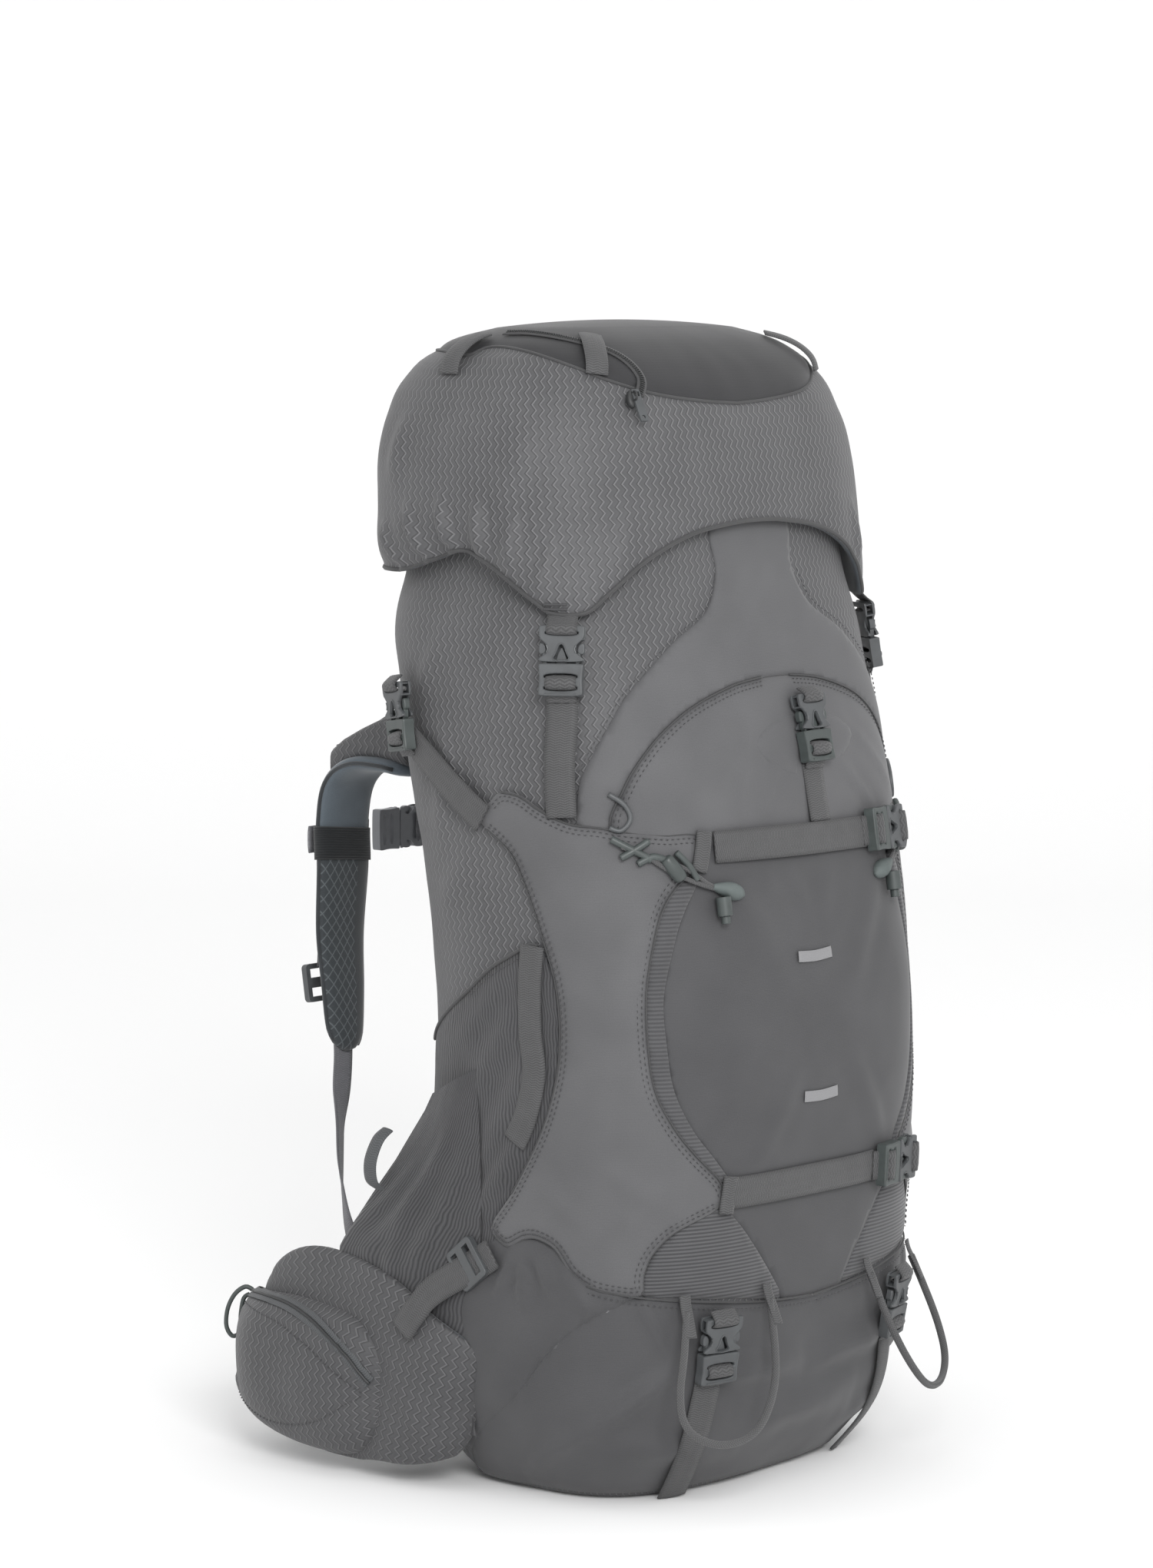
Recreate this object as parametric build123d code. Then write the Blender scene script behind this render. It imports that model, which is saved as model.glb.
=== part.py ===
"""Hiking backpack of about 55 litres, standing on its base, in millimetres.

+Z is up, +X is the wearer's left as seen from the front of the pack, -Y is the front panel and
+Y is the harness side.  The origin is the middle of the flat base.  Names ending in _left are on
the -X side, which is the left of a person looking at the front panel.
"""

from build123d import *
import math
import os

os.makedirs("parts", exist_ok=True)

# ---------------------------------------------------------------- driving dimensions
WEBBING = 20.0  # width of the compression webbing
WEBBING_THICK = 1.6
BUCKLE_WIDTH = 29.0
BUCKLE_THICK = 7.6
SQUARENESS = 3.0  # exponent of the rounded-rectangle plan outline
WALL = 6.0  # bag fabric with its foam and seam allowance
LAYER_LOW, LAYER_HIGH = 0.8, 3.0  # fabric panels sewn over the bag lie between these offsets
STRAP_LIFT = 4.2  # height of webbing above the bag
BUCKLE_LIFT = 6.6  # height of a buckle's underside above the bag
BAG_TOP, COLLAR_TOP = 575.0, 645.0
LID_HINGE_Y, LID_HINGE_Z = 130.0, 578.0
LID_REAR_EDGE = 602.0  # height of the lid's lower edge along the harness side

# plan outline of the bag at each height: (z, half width, front y, back y)
BAG = [
    (0, 129, -102, 72),
    (30, 150, -125, 86),
    (100, 164, -142, 92),
    (200, 166, -150, 88),
    (300, 165, -152, 86),
    (400, 165, -140, 97),
    (500, 167, -122, 114),
    (575, 163, -102, 119),
    (645, 154, -90, 111),
]
# the lid's outer outline, and the cavity that fits over the collar
LID = [
    (575, 172, -111, 129),
    (600, 172, -107, 129),
    (650, 172, -98, 127),
    (700, 168, -86, 121),
    (735, 150, -67, 105),
    (757, 105, -30, 68),
]
LID_GAP = 5.5
LID_CAVITY = [(z, w + LID_GAP, front - LID_GAP, back + LID_GAP) for z, w, front, back in BAG[-2:]]
LID_CEILING = 655.0


# ---------------------------------------------------------------- outline helpers
def outline_at(stations, z):
    """Half width, front y and back y at a height, between the stations."""
    z = min(max(z, stations[0][0]), stations[-1][0])
    for low, high in zip(stations, stations[1:]):
        if z <= high[0]:
            share = (z - low[0]) / (high[0] - low[0])
            return [a + share * (b - a) for a, b in zip(low[1:], high[1:])]
    return list(stations[-1][1:])


def surface_point(z, degrees, lift=0.0, stations=BAG):
    """A point on the outline: 0 degrees is +X, -90 the front, 180 is -X and 90 the back."""
    half, front, back = outline_at(stations, z)
    c, s = math.cos(math.radians(degrees)), math.sin(math.radians(degrees))
    reach = (abs(c) ** SQUARENESS + abs(s) ** SQUARENESS) ** (-1 / SQUARENESS)
    middle, depth = (front + back) / 2, (back - front) / 2
    return Vector((half + lift) * reach * c, middle + (depth + lift) * reach * s, z)


def surface_normal(z, degrees, stations=BAG):
    """The outward normal of the outline's surface."""
    across = surface_point(z, degrees + 1, 0, stations) - surface_point(z, degrees - 1, 0, stations)
    up = surface_point(z + 4, degrees, 0, stations) - surface_point(z - 4, degrees, 0, stations)
    return across.cross(up).normalized()


def ring(stations, z, grow=0.0, count=48):
    """One closed plan outline."""
    step = 360 / count
    return Wire(Spline(*[surface_point(z, k * step, grow, stations) for k in range(count)], periodic=True))


def hull(stations, low, high, grow=0.0):
    """The solid inside the outline between two heights."""
    heights = [low] + [s[0] for s in stations if low < s[0] < high] + [high]
    return Solid.make_loft([ring(stations, z, grow) for z in heights], ruled=True)


def panel(rows, low=LAYER_LOW, high=LAYER_HIGH, stations=BAG):
    """A sheet on the bag. rows are (z, first degrees, last degrees), from the bottom up."""
    filled = [rows[0]]
    for a, b in zip(rows, rows[1:]):
        for z in [s[0] for s in stations if a[0] + 1 < s[0] < b[0] - 1]:
            share = (z - a[0]) / (b[0] - a[0])
            filled.append((z, a[1] + share * (b[1] - a[1]), a[2] + share * (b[2] - a[2])))
        filled.append(b)
    widest = max(abs(last - first) for _, first, last in rows)
    steps = max(4, round(widest / 5))
    wires = []
    for z, first, last in filled:
        turns = [first + (last - first) * k / steps for k in range(steps + 1)]
        inner = [surface_point(z, t, low, stations) for t in turns]
        outer = [surface_point(z, t, high, stations) for t in reversed(turns)]
        edges = [Spline(*inner), Line(inner[-1], outer[0]), Spline(*outer), Line(outer[-1], inner[0])]
        wires.append(Wire(edges))
    return Solid.make_loft(wires, ruled=True)


def mirrored(shape):
    """The same piece on the other side of the pack."""
    return shape.mirror(Plane.YZ)


# ---------------------------------------------------------------- webbing helpers
def ribbon(points, normals, widths, thick=WEBBING_THICK):
    """Webbing or padding whose lower face follows the points; thick may be one number or a list."""
    wires = []
    depths = thick if isinstance(thick, list) else [thick] * len(points)
    for k, (point, normal) in enumerate(zip(points, normals)):
        before, after = points[max(k - 1, 0)], points[min(k + 1, len(points) - 1)]
        along = (after - before).normalized()
        side = along.cross(normal).normalized()
        out = side.cross(along).normalized()
        half = side * (widths[k] / 2)
        raised = out * depths[k]
        wires.append(Wire.make_polygon([point - half, point + half, point + half + raised, point - half + raised]))
    return Solid.make_loft(wires, ruled=True)


def spread(places, parts=3):
    """The same run of places with each step divided evenly."""
    filled = [places[0]]
    for a, b in zip(places, places[1:]):
        for k in range(1, parts + 1):
            filled.append(tuple(u + (v - u) * k / parts for u, v in zip(a, b)))
    return filled


def surface_strap(places, lift=STRAP_LIFT, width=WEBBING, stations=BAG):
    """Webbing over the bag through (z, degrees) places, or (z, degrees, extra lift) places."""
    points = [surface_point(p[0], p[1], lift + sum(p[2:]), stations) for p in places]
    normals = [surface_normal(p[0], p[1], stations) for p in places]
    return ribbon(points, normals, [width] * len(points))


def free_strap(points, out, width=WEBBING, thick=WEBBING_THICK):
    """Webbing through points in space, facing one way or one way for each point."""
    vectors = [Vector(*p) for p in points]
    faces = out if isinstance(out, list) else [out] * len(points)
    widths = width if isinstance(width, list) else [width] * len(points)
    return ribbon(vectors, [Vector(*f) for f in faces], widths, thick)


def block(x, y, z):
    """A box from three (low, high) pairs."""
    size = [b - a for a, b in (x, y, z)]
    return Pos(x[0], y[0], z[0]) * Solid.make_box(*size)


# ---------------------------------------------------------------- buckles, in their own frame
# X is across the webbing, Y along it towards the socket's bar, Z away from the pack.
SOCKET_MOUTH, SOCKET_END = 1.0, 24.0
MALE_END = -21.0
GAP_LOW, GAP_HIGH = 1.0, 6.5  # the slot inside the socket
PRONG_LOW, PRONG_HIGH = 2.2, 5.5
SLOT_HALF = 10.7  # half the length of a webbing slot


def plate(x_half, y_low, y_high, thick, corner):
    """A flat plate with round corners."""
    sketch = RectangleRounded(2 * x_half, y_high - y_low, corner)
    return Pos(0, (y_low + y_high) / 2, 0) * extrude(sketch, thick)


def socket_half():
    """The female half: two leaves, open at the sides, with a bar for the webbing."""
    body = plate(BUCKLE_WIDTH / 2, SOCKET_MOUTH, SOCKET_END, BUCKLE_THICK, 3)
    rim = body.edges().group_by(Axis.Z)[-1]
    body = fillet(rim, 1.0)
    body -= block((-20, 20), (SOCKET_MOUTH - 1, 12), (GAP_LOW, GAP_HIGH))
    body -= block((-12.2, 12.2), (SOCKET_MOUTH - 1, 15), (GAP_LOW, GAP_HIGH))
    body -= block((-SLOT_HALF, SLOT_HALF), (17.2, 20.6), (-1, 9))
    window = Polygon((-6.5, 0), (6.5, 0), (1.4, 11.5), (-1.4, 11.5), align=None)
    body -= Pos(0, 0, GAP_HIGH - 0.1) * extrude(window, 3)
    for side in (-1, 1):
        body -= Pos(side * 18.6, 8.5, -1) * Solid.make_cylinder(6.2, 10)
    return body


def plug_half():
    """The male half: a ladder frame with two prongs and a guide."""
    frame = plate(BUCKLE_WIDTH / 2, MALE_END, 0, BUCKLE_THICK, 3)
    frame = fillet(frame.edges().group_by(Axis.Z)[-1], 1.0)
    for low in (-17.6, -10.4):
        frame -= block((-SLOT_HALF, SLOT_HALF), (low, low + 3.6), (-1, 9))
    guide = Polygon((-5, -1), (5, -1), (0.9, 10), (-0.9, 10), align=None)
    hole = Polygon((-2.2, 1), (2.2, 1), (0, 6.5), align=None)
    frame += Pos(0, 0, PRONG_LOW) * (extrude(guide, PRONG_HIGH - PRONG_LOW) - extrude(hole, 4))
    for side in (-1, 1):
        arm = Polygon((8.4, -1), (11.6, -1), (13.8, 4), (14.2, 8), (12.0, 11.4), (9.6, 11.4), align=None)
        solid = Pos(0, 0, PRONG_LOW) * extrude(arm, PRONG_HIGH - PRONG_LOW)
        frame += solid if side > 0 else solid.mirror(Plane.YZ)
    return frame


def ladder_lock():
    """A strap adjuster: two slots, a middle bar and a lifting lip."""
    body = plate(BUCKLE_WIDTH / 2, -13, 13, 5.0, 3)
    body = fillet(body.edges().group_by(Axis.Z)[-1], 1.0)
    for low in (-9.5, 3.4):
        body -= block((-SLOT_HALF, SLOT_HALF), (low, low + 6.1), (-1, 9))
    return body


def on_bag(shape, z, degrees, up, lift=BUCKLE_LIFT, stations=BAG):
    """Places a buckle on the bag, its Y axis as near as can be to the direction up."""
    normal = surface_normal(z, degrees, stations)
    across = Vector(*up).cross(normal).normalized()
    return Plane(surface_point(z, degrees, 0, stations) + normal * lift, across, normal) * shape


UP, RIGHT = (0, 0, 1), (1, 0, 0)
SOCKET, PLUG, LADDER = socket_half(), plug_half(), ladder_lock()

# where each buckle's mouth is: height, degrees round the bag
LID_BUCKLE = (545, -147)
FLAP_BUCKLE = (494, -84)
FRONT_HIGH_BUCKLE = (425, -62)
FRONT_LOW_BUCKLE = (206, -64)
PAD_BUCKLE = (106, -121)
SIDE_BUCKLE = (505, 151)
SIDE_BUCKLE_UP = (0, 0.15, 1)


def mirror_degrees(degrees):
    """The same place on the other side of the pack."""
    return 180 - degrees


# ---------------------------------------------------------------- the bag
def cord_lock(length=16.0, width=11.0, thick=8.0):
    """A barrel cord lock with its cord hole and push button."""
    barrel = Pos(0, 0, -length / 2) * extrude(RectangleRounded(width, thick, 3.5), length * 0.7)
    barrel -= Pos(0, 10, -1) * Rot(90, 0, 0) * Solid.make_cylinder(1.6, 20)
    button = Pos(0, 0, length * 0.2) * Solid.make_cylinder(2.6, length * 0.3)
    return barrel + button


def make_bag():
    """The main bag, the collar above it, and the frame and water sleeve inside its back."""
    tub = hull(BAG, 0, BAG_TOP) - hull(BAG, WALL, BAG_TOP + 1, -WALL)
    collar = hull(BAG, BAG_TOP, COLLAR_TOP) - hull(BAG, BAG_TOP - 1, COLLAR_TOP + 1, -3.5)
    hem_z = COLLAR_TOP - 6
    hem = hull(BAG, hem_z - 3, hem_z + 3, -4) - hull(BAG, hem_z - 4, hem_z + 4, -7)
    stay = surface_strap(spread([(70, 60), (200, 60), (300, 60), (400, 60), (500, 60), (560, 60)], 1), -13, 12)
    return {
        "main_bag": tub,
        "collar": collar,
        "collar_drawcord": hem,
        "frame_sheet": panel([(60, 62, 118), (300, 58, 122), (540, 60, 120)], -8.4, -6.8),
        "frame_stays": Compound([stay, mirrored(stay)]),
        "hydration_sleeve": panel([(230, 68, 112), (400, 66, 114), (530, 66, 114)], -22, -17),
    }


def make_front():
    """Fabric panels and the stretch pocket on the front."""
    pocket = [(205, -118, -62), (212, -123, -57), (256, -131, -49), (300, -135, -45)]
    pocket += [(348, -134, -46), (384, -130, -50), (404, -125, -55), (430, -121, -59)]
    gusset = [(142, -134, -124), (165, -132, -119), (190, -127, -115), (202, -123, -113)]
    apron = [(140, -122, -58), (160, -117, -63), (200, -111.5, -68.5)]
    flap = [(60, -150, -30), (100, -152, -28), (139, -151, -29)]
    arch = [(444, -149, -141), (472, -146, -138.5), (496, -141, -132.5), (516, -136, -121)]
    crown = [(530, -133, -47), (556, -121, -59), (580, -108, -72), (622, -102, -78)]
    yoke = [(436, -139.5, -40.5), (472, -136, -44), (496, -130, -50), (514, -119, -61), (527, -106, -74)]
    right_arch = [(z, mirror_degrees(last), mirror_degrees(first)) for z, first, last in arch]
    gussets = [(z, mirror_degrees(last) - 360, mirror_degrees(first) - 360) for z, first, last in gusset]
    return {
        "front_pocket": panel(pocket),
        "pocket_gussets": Compound([panel(gusset), panel(gussets)]),
        "pocket_apron": panel(apron),
        "sleeping_bag_flap": panel(flap),
        "front_arch": Compound([panel(spread(rows)) for rows in (arch, right_arch, crown)]),
        "flap_panel": panel(yoke),
    }


def make_sides():
    """The hourglass wrap panels, and the stretch pockets with the fins that reach the hip wings."""
    wrap = [(150, -178, -138), (170, -183, -134.5), (190, -179.5, -130), (212, -174, -125)]
    wrap += [(256, -167, -133), (300, -165, -137.5), (348, -165, -136), (384, -168, -132)]
    wrap += [(404, -169, -127.5), (430, -172, -123)]
    stretch = [(150, -212, -180), (170, -212, -185), (190, -212, -181.5), (212, -212, -176)]
    stretch += [(256, -212, -169), (300, -212, -167), (318, -198, -167), (336, -184, -167), (356, -172, -167)]
    outline = [(20, 153), (116, 153), (100, 168), (61, 216), (38, 250), (20, 250)]
    profile = Polygon(*outline, align=None)
    fin = Plane((-175, 0, 0), (0, 1, 0), (1, 0, 0)) * extrude(profile, 8.0)
    sides = {"wing_left": panel(wrap), "side_pocket_left": panel(spread(stretch, 2), 1.4, LAYER_HIGH) + fin}
    for name in ("wing", "side_pocket"):
        sides[name + "_right"] = mirrored(sides[name + "_left"])
    return sides


# ---------------------------------------------------------------- the lid
def make_lid():
    """The top lid: a stuffed pocket with a skirt that fits over the collar."""
    lid = hull(LID, 578, 757) - hull(LID_CAVITY, 570, LID_CEILING)
    arch = Pos(0, 0, 390) * Rot(90, 0, 0) * Solid.make_cylinder(242, 300)
    side = Pos(-300, 15, 506) * Rot(0, 90, 0) * Solid.make_cylinder(110, 600)
    rear = block((-200, 200), (100, 200), (500, LID_REAR_EDGE))
    lid = (lid - arch - side - rear).solids().sort_by(SortBy.VOLUME)[-1]
    arc = spread([(722, -125), (730, -127), (738, -133), (746, -148), (750, -180)], 4)
    zipper = surface_strap(arc, 2.2, 9, LID)
    loops = []
    for degrees in (-186, -131, -49, 6):
        places = [(728, degrees, 1.8), (735, degrees, 4), (742, degrees, 4), (749, degrees, 1.8)]
        loops.append(surface_strap(places, 2.6, 14, LID))
    slider = on_bag(zip_slider(), 712, -123.5, UP, 5.2, LID)
    return {
        "lid": lid,
        "lid_zipper": Compound([zipper, slider]),
        "lid_daisy_loops": Compound(loops),
        "lid_zip_pull": on_bag(zip_pull(), 712, -123.5, UP, 5.2, LID),
    }


def zip_slider():
    """A zip slider with its bail."""
    bail = Pos(0, 1, 3.0) * plate(2, -3, 3, 3.6, 0.9) - block((-3, 3), (-0.8, 2.8), (3.0, 5.4))
    return plate(4.5, -6, 6, 3.0, 2) + bail


def zip_pull():
    """The pull tab that hangs from the slider's bail."""
    tab = Pos(0, 0, 3.6) * plate(3, -21, 1.8, 1.4, 0.8)
    return tab - Pos(0, -18, -1) * Solid.make_cylinder(1.3, 10) - block((-2.3, 2.3), (-3.2, 0.2), (0, 9))


def lid_parts():
    """Tabs and sockets that hang from the lid, one each side."""
    z, degrees = LID_BUCKLE
    tabs, sockets = [], []
    for turn in (degrees, mirror_degrees(degrees)):
        heights = (573, 586, 597)
        points = [surface_point(h, turn, lift) for h, lift in zip(heights, (STRAP_LIFT + 4, 12.5, 14))]
        tabs.append(ribbon(points, [surface_normal(h, turn) for h in heights], [WEBBING] * 3))
        sockets.append(on_bag(SOCKET, z, turn, UP))
    return {"lid_tabs": Compound(tabs), "lid_sockets": Compound(sockets)}


# ---------------------------------------------------------------- webbing on the bag
def make_straps():
    """Webbing fixed to the bag, under the buckles."""
    lid_run = surface_strap([(450, -153.5, 0), (480, -152, -0.5), (510, -149.5, -0.6), (542, -147.3, 0)])
    flap_run = surface_strap([(438, -84), (465, -84), (491, -84)])
    high = surface_strap([(428, -118), (427, -105), (426, -92), (425.5, -80), (425, -64)])
    low = surface_strap([(207, -119), (207, -105), (206.5, -92), (206, -80), (206, -66)])
    pad = surface_strap([(6, -125.5), (30, -125), (56, -123.5), (82, -122), (103, -121)])
    side = surface_strap([(494, 152.5), (480, 160), (466, 167), (452, 174.5), (444, 179)])
    low_side = surface_strap([(166, 176), (158, 168), (134, 160), (112, 153)])
    rear = surface_strap([(536, 68), (556, 68), (576, 68)], 1.5, 25)
    return {
        "lid_straps": Compound([lid_run, mirrored(lid_run)]),
        "lid_rear_straps": Compound([rear, mirrored(rear)]),
        "front_straps": Compound([flap_run, high, low]),
        "pad_straps": Compound([pad, mirrored(pad)]),
        "side_straps": Compound([side, mirrored(side), low_side, mirrored(low_side)]),
    }


def make_buckles():
    """Every side-release buckle on the bag: sockets fixed, plugs free to slide out."""
    parts, sockets = {}, []
    pairs = {
        "lid": (LID_BUCKLE, UP, True),
        "flap": (FLAP_BUCKLE, UP, False),
        "front_high": (FRONT_HIGH_BUCKLE, RIGHT, False),
        "front_low": (FRONT_LOW_BUCKLE, RIGHT, False),
        "pad": (PAD_BUCKLE, UP, True),
        "side": (SIDE_BUCKLE, SIDE_BUCKLE_UP, True),
    }
    for name, ((z, turn), up, both) in pairs.items():
        places = {"_left": turn, "_right": mirror_degrees(turn)} if both else {"": turn}
        for side, degrees in places.items():
            parts[f"{name}_plug{side}"] = on_bag(PLUG, z, degrees, up)
            if name != "lid":
                sockets.append(on_bag(SOCKET, z, degrees, up))
    parts["buckle_sockets"] = Compound(sockets)
    locks = [on_bag(LADDER, 155, 167, (0, -0.75, 0.6)), on_bag(LADDER, 155, 13, (0, -0.75, 0.6))]
    parts["ladder_locks"] = Compound(locks)
    return parts


# ---------------------------------------------------------------- loops and bungees
def make_loops():
    """Ice-axe loops, walking-pole loops, the haul loop and the two bungee tool holders."""
    axe_places = [(134, -129, 0), (112, -130.5, 12), (88, -132.5, 24), (69, -132, 32), (60, -127, 35)]
    axe_places += [(60, -121, 35), (67, -116.5, 32), (86, -112, 24), (110, -109.5, 12), (134, -108, 0)]
    axe = surface_strap(spread(axe_places, 2), 9.0, 9)
    pole = free_strap(
        [(-178.5, 64, 236), (-186, 66, 230), (-189, 70, 216), (-186, 72, 203), (-178.5, 72, 197)],
        [(-0.5, 0, 1), (-1, 0, 0.6), (-1, 0, 0), (-1, 0, -0.6), (-0.5, 0, -1)],
        10,
    )
    back = surface_point(530, 90).Y
    haul = free_strap(
        [(-34, back + 2, 540), (-33, back + 9, 526), (-24, back + 14, 513), (-10, back + 16, 508),
         (10, back + 16, 508), (24, back + 14, 513), (33, back + 9, 526), (34, back + 2, 540)],
        (0, 1, 0.25),
        8,
        3.0,
    )
    route = [surface_point(z, t, 5.5) for z, t in ((431, -140), (423, -134), (414, -128), (404, -123))]
    cord = Wire(FilletPolyline(*route, radius=[9, 9]))
    start = Plane(route[0], z_dir=route[1] - route[0])
    bungee = sweep(start * Circle(1.5), path=cord)
    lock = on_bag(Rot(90, 0, 0) * cord_lock(), 390, -119.5, UP, 9)
    collar_lock = Pos(0, outline_at(BAG, COLLAR_TOP - 6)[1] + 16, COLLAR_TOP - 6) * cord_lock()
    return {
        "ice_axe_loop_left": axe,
        "ice_axe_loop_right": mirrored(axe),
        "pole_loops": Compound([pole, mirrored(pole)]),
        "haul_loop": haul,
        "tool_bungees": Compound([bungee, mirrored(bungee)]),
        "cord_locks": Compound([lock, mirrored(lock), collar_lock]),
    }


# ---------------------------------------------------------------- the harness
STRAP_ROUTE = [
    (-70, 125, 459),
    (-72, 147, 464),
    (-77, 174, 461),
    (-80, 189, 447),
    (-82, 193, 421),
    (-85, 190, 391),
    (-88, 190, 346),
    (-92, 184, 311),
    (-96, 179, 285),
    (-100, 174, 268),
]
STRAP_FACES = [(0, 0.1, 1), (0, -0.1, 1), (0, 0.5, 0.9), (0, 1, 0.4), (0, 1, 0)]
STRAP_FACES += [(0, 1, -0.05), (0, 1, -0.1), (0, 1, -0.15), (0, 1, -0.2), (0, 1, -0.25)]
STRAP_WIDTHS = [58, 56, 52, 50, 48, 47, 43, 38, 33, 25]
STRAP_DEPTH = 13.0
STERNUM_Y, STERNUM_Z, STERNUM_X = 202.0, 410.0, -10.0
WEB_FACES = [(0, 1, 0.2), (0, 1, 0.2), (0, 1, 0.3), (-0.3, 1, 0.5), (-0.3, 1, 0.8), (-0.5, 1, 0.8)]


def make_harness():
    """The back panel, shoulder straps, load lifters and lower webbing."""
    inner = [Vector(*p) - Vector(*n).normalized() * STRAP_DEPTH / 2 for p, n in zip(STRAP_ROUTE, STRAP_FACES)]
    strap = ribbon(inner, [Vector(*n) for n in STRAP_FACES], STRAP_WIDTHS, STRAP_DEPTH)
    lifter = free_strap([(-80, 192, 472), (-80, 160, 488), (-80, 120, 510)], (0, 0.4, 1), 16)
    web = free_strap(
        [(-100, 176, 262), (-104, 174, 240), (-112, 168, 215), (-121, 158, 182), (-133, 136, 146),
         (-137, 96, 116), (-137, 70, 106)],
        WEB_FACES + [(-0.6, 1, 0.8)],
        18,
    )
    adjuster = Plane((-94, 201, 312), (1, 0, 0), (0, 1, -0.15)) * LADDER
    face_web = free_strap([(-82, 201, 432), (-84, 199, 400), (-90, 198.5, 346), (-94, 197, 314)], (0, 1, 0), 15, 1.2)
    return {
        "back_panel": panel([(146, 56, 124), (300, 56, 124), (495, 58, 122)], LAYER_LOW, 12),
        "lumbar_pad": panel([(30, 60, 120), (80, 56, 124), (140, 58, 122)], LAYER_LOW, 24),
        "shoulder_strap_left": strap,
        "shoulder_strap_right": mirrored(strap),
        "load_lifters": Compound([lifter, mirrored(lifter)]),
        "harness_webbing": Compound([web, mirrored(web), face_web, mirrored(face_web)]),
        "strap_adjusters": Compound([adjuster, mirrored(adjuster)]),
    }


def make_sternum():
    """The chest strap, whose plug slides out of its socket."""
    frame = Plane((STERNUM_X, STERNUM_Y, STERNUM_Z), (0, 0, 1), (0, 1, 0))
    y, z = STERNUM_Y + 1.0, STERNUM_Z
    left = free_strap([(-104, y, z), (STERNUM_X - 36, y, z)], (0, 1, 0), 18)
    right = free_strap([(STERNUM_X + 18, y, z), (104, y, z)], (0, 1, 0), 18)
    lifted = frame * Pos(0, 0, 3)
    return {
        "sternum_strap": Compound([left, right]),
        "sternum_socket": lifted * SOCKET,
        "sternum_plug": lifted * PLUG,
    }


WING_ROUTE = [(-171, 44), (-168, 84), (-161, 135), (-152, 176), (-133, 203), (-103, 216), (-67, 222)]
WING_FACES = [(-1, 0, 0), (-1, 0.05, 0), (-1, 0.15, 0), (-0.93, 0.36, 0), (-0.6, 0.8, 0), (-0.25, 0.97, 0)]
WING_FACES += [(-0.1, 1, 0)]
WING_LOW = [14, 11, 11, 14, 19, 26, 34]
WING_HIGH = [95, 133, 146, 130, 118, 111, 104]
WING_DEPTH = 14.0
POCKET_DEPTHS = [5, 16, 22, 22, 14, 4]
HIP_BUCKLE_SCALE = 1.3


def make_hip_belt():
    """Padded hip wings with their pockets and the two halves of the open belt buckle."""
    middles = [(low + high) / 2 for low, high in zip(WING_LOW, WING_HIGH)]
    widths = [high - low for low, high in zip(WING_LOW, WING_HIGH)]
    points = [(x, y, z) for (x, y), z in zip(WING_ROUTE, middles)]
    wing = free_strap(points, WING_FACES, widths, WING_DEPTH)
    skin = [Vector(*p) + Vector(*n).normalized() * (WING_DEPTH + 2.4) for p, n in zip(points, WING_FACES)]
    skin[0] = skin[0] + (skin[1] - skin[0]) * 0.7 + Vector(-0.8, 0, 0)
    skin = [Vector(p.X, p.Y, 62 + 2 * k) for k, p in enumerate(skin[:6])]
    sizes = [62, 92, 98, 94, 78, 60]
    pocket = ribbon(skin, [Vector(*n) for n in WING_FACES[:6]], sizes, POCKET_DEPTHS)
    belt_y = 238.0
    web = free_strap([(-74, belt_y, 69), (-40, belt_y, 69)], (0, 1, 0), 25)
    far_web = free_strap([(22, belt_y, 69), (74, belt_y, 69)], (0, 1, 0), 25)
    plug = Plane((-24, belt_y + 2.2, 69), (0, 0, 1), (0, 1, 0)) * PLUG.scale(HIP_BUCKLE_SCALE)
    socket = Plane((-2, belt_y + 2.2, 69), (0, 0, 1), (0, 1, 0)) * SOCKET.scale(HIP_BUCKLE_SCALE)
    return {
        "hip_wing_left": Compound([wing, web]),
        "hip_wing_right": Compound([mirrored(wing), far_web]),
        "hip_pocket_left": pocket,
        "hip_pocket_right": mirrored(pocket),
        "hip_plug": plug,
        "hip_socket": socket,
    }


def main():
    parts = {}
    for group in (make_bag, make_front, make_sides, make_lid, lid_parts, make_straps, make_buckles):
        parts.update(group())
    for group in (make_loops, make_harness, make_sternum, make_hip_belt):
        parts.update(group())
    for name, shape in parts.items():
        export_step(shape, f"parts/{name}.step")
    print(len(parts), "nodes:", " ".join(sorted(parts)))


main()
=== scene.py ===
"""Looks of the hiking backpack: sewn panels, webbing, padding and moulded hardware around its CAD frame."""

import math

import bpy
import numpy as np
from mathutils import Matrix, Vector, noise
from mathutils.geometry import delaunay_2d_cdt


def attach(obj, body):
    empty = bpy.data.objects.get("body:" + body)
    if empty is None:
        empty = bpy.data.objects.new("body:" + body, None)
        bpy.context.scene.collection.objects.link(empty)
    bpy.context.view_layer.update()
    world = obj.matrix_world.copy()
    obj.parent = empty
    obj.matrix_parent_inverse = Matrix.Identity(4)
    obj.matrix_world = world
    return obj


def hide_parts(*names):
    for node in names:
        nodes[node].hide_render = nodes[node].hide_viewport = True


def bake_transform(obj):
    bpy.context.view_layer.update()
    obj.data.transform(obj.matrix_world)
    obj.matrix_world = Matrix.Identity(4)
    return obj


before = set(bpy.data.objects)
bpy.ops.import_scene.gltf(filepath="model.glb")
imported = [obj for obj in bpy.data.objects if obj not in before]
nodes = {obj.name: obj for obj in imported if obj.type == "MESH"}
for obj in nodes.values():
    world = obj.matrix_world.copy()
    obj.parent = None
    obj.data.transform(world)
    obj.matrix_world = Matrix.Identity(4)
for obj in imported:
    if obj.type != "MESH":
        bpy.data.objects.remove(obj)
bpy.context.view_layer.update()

# Lengths in this script are in millimetres. They become metres when a mesh is made.
MM = 0.001

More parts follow.
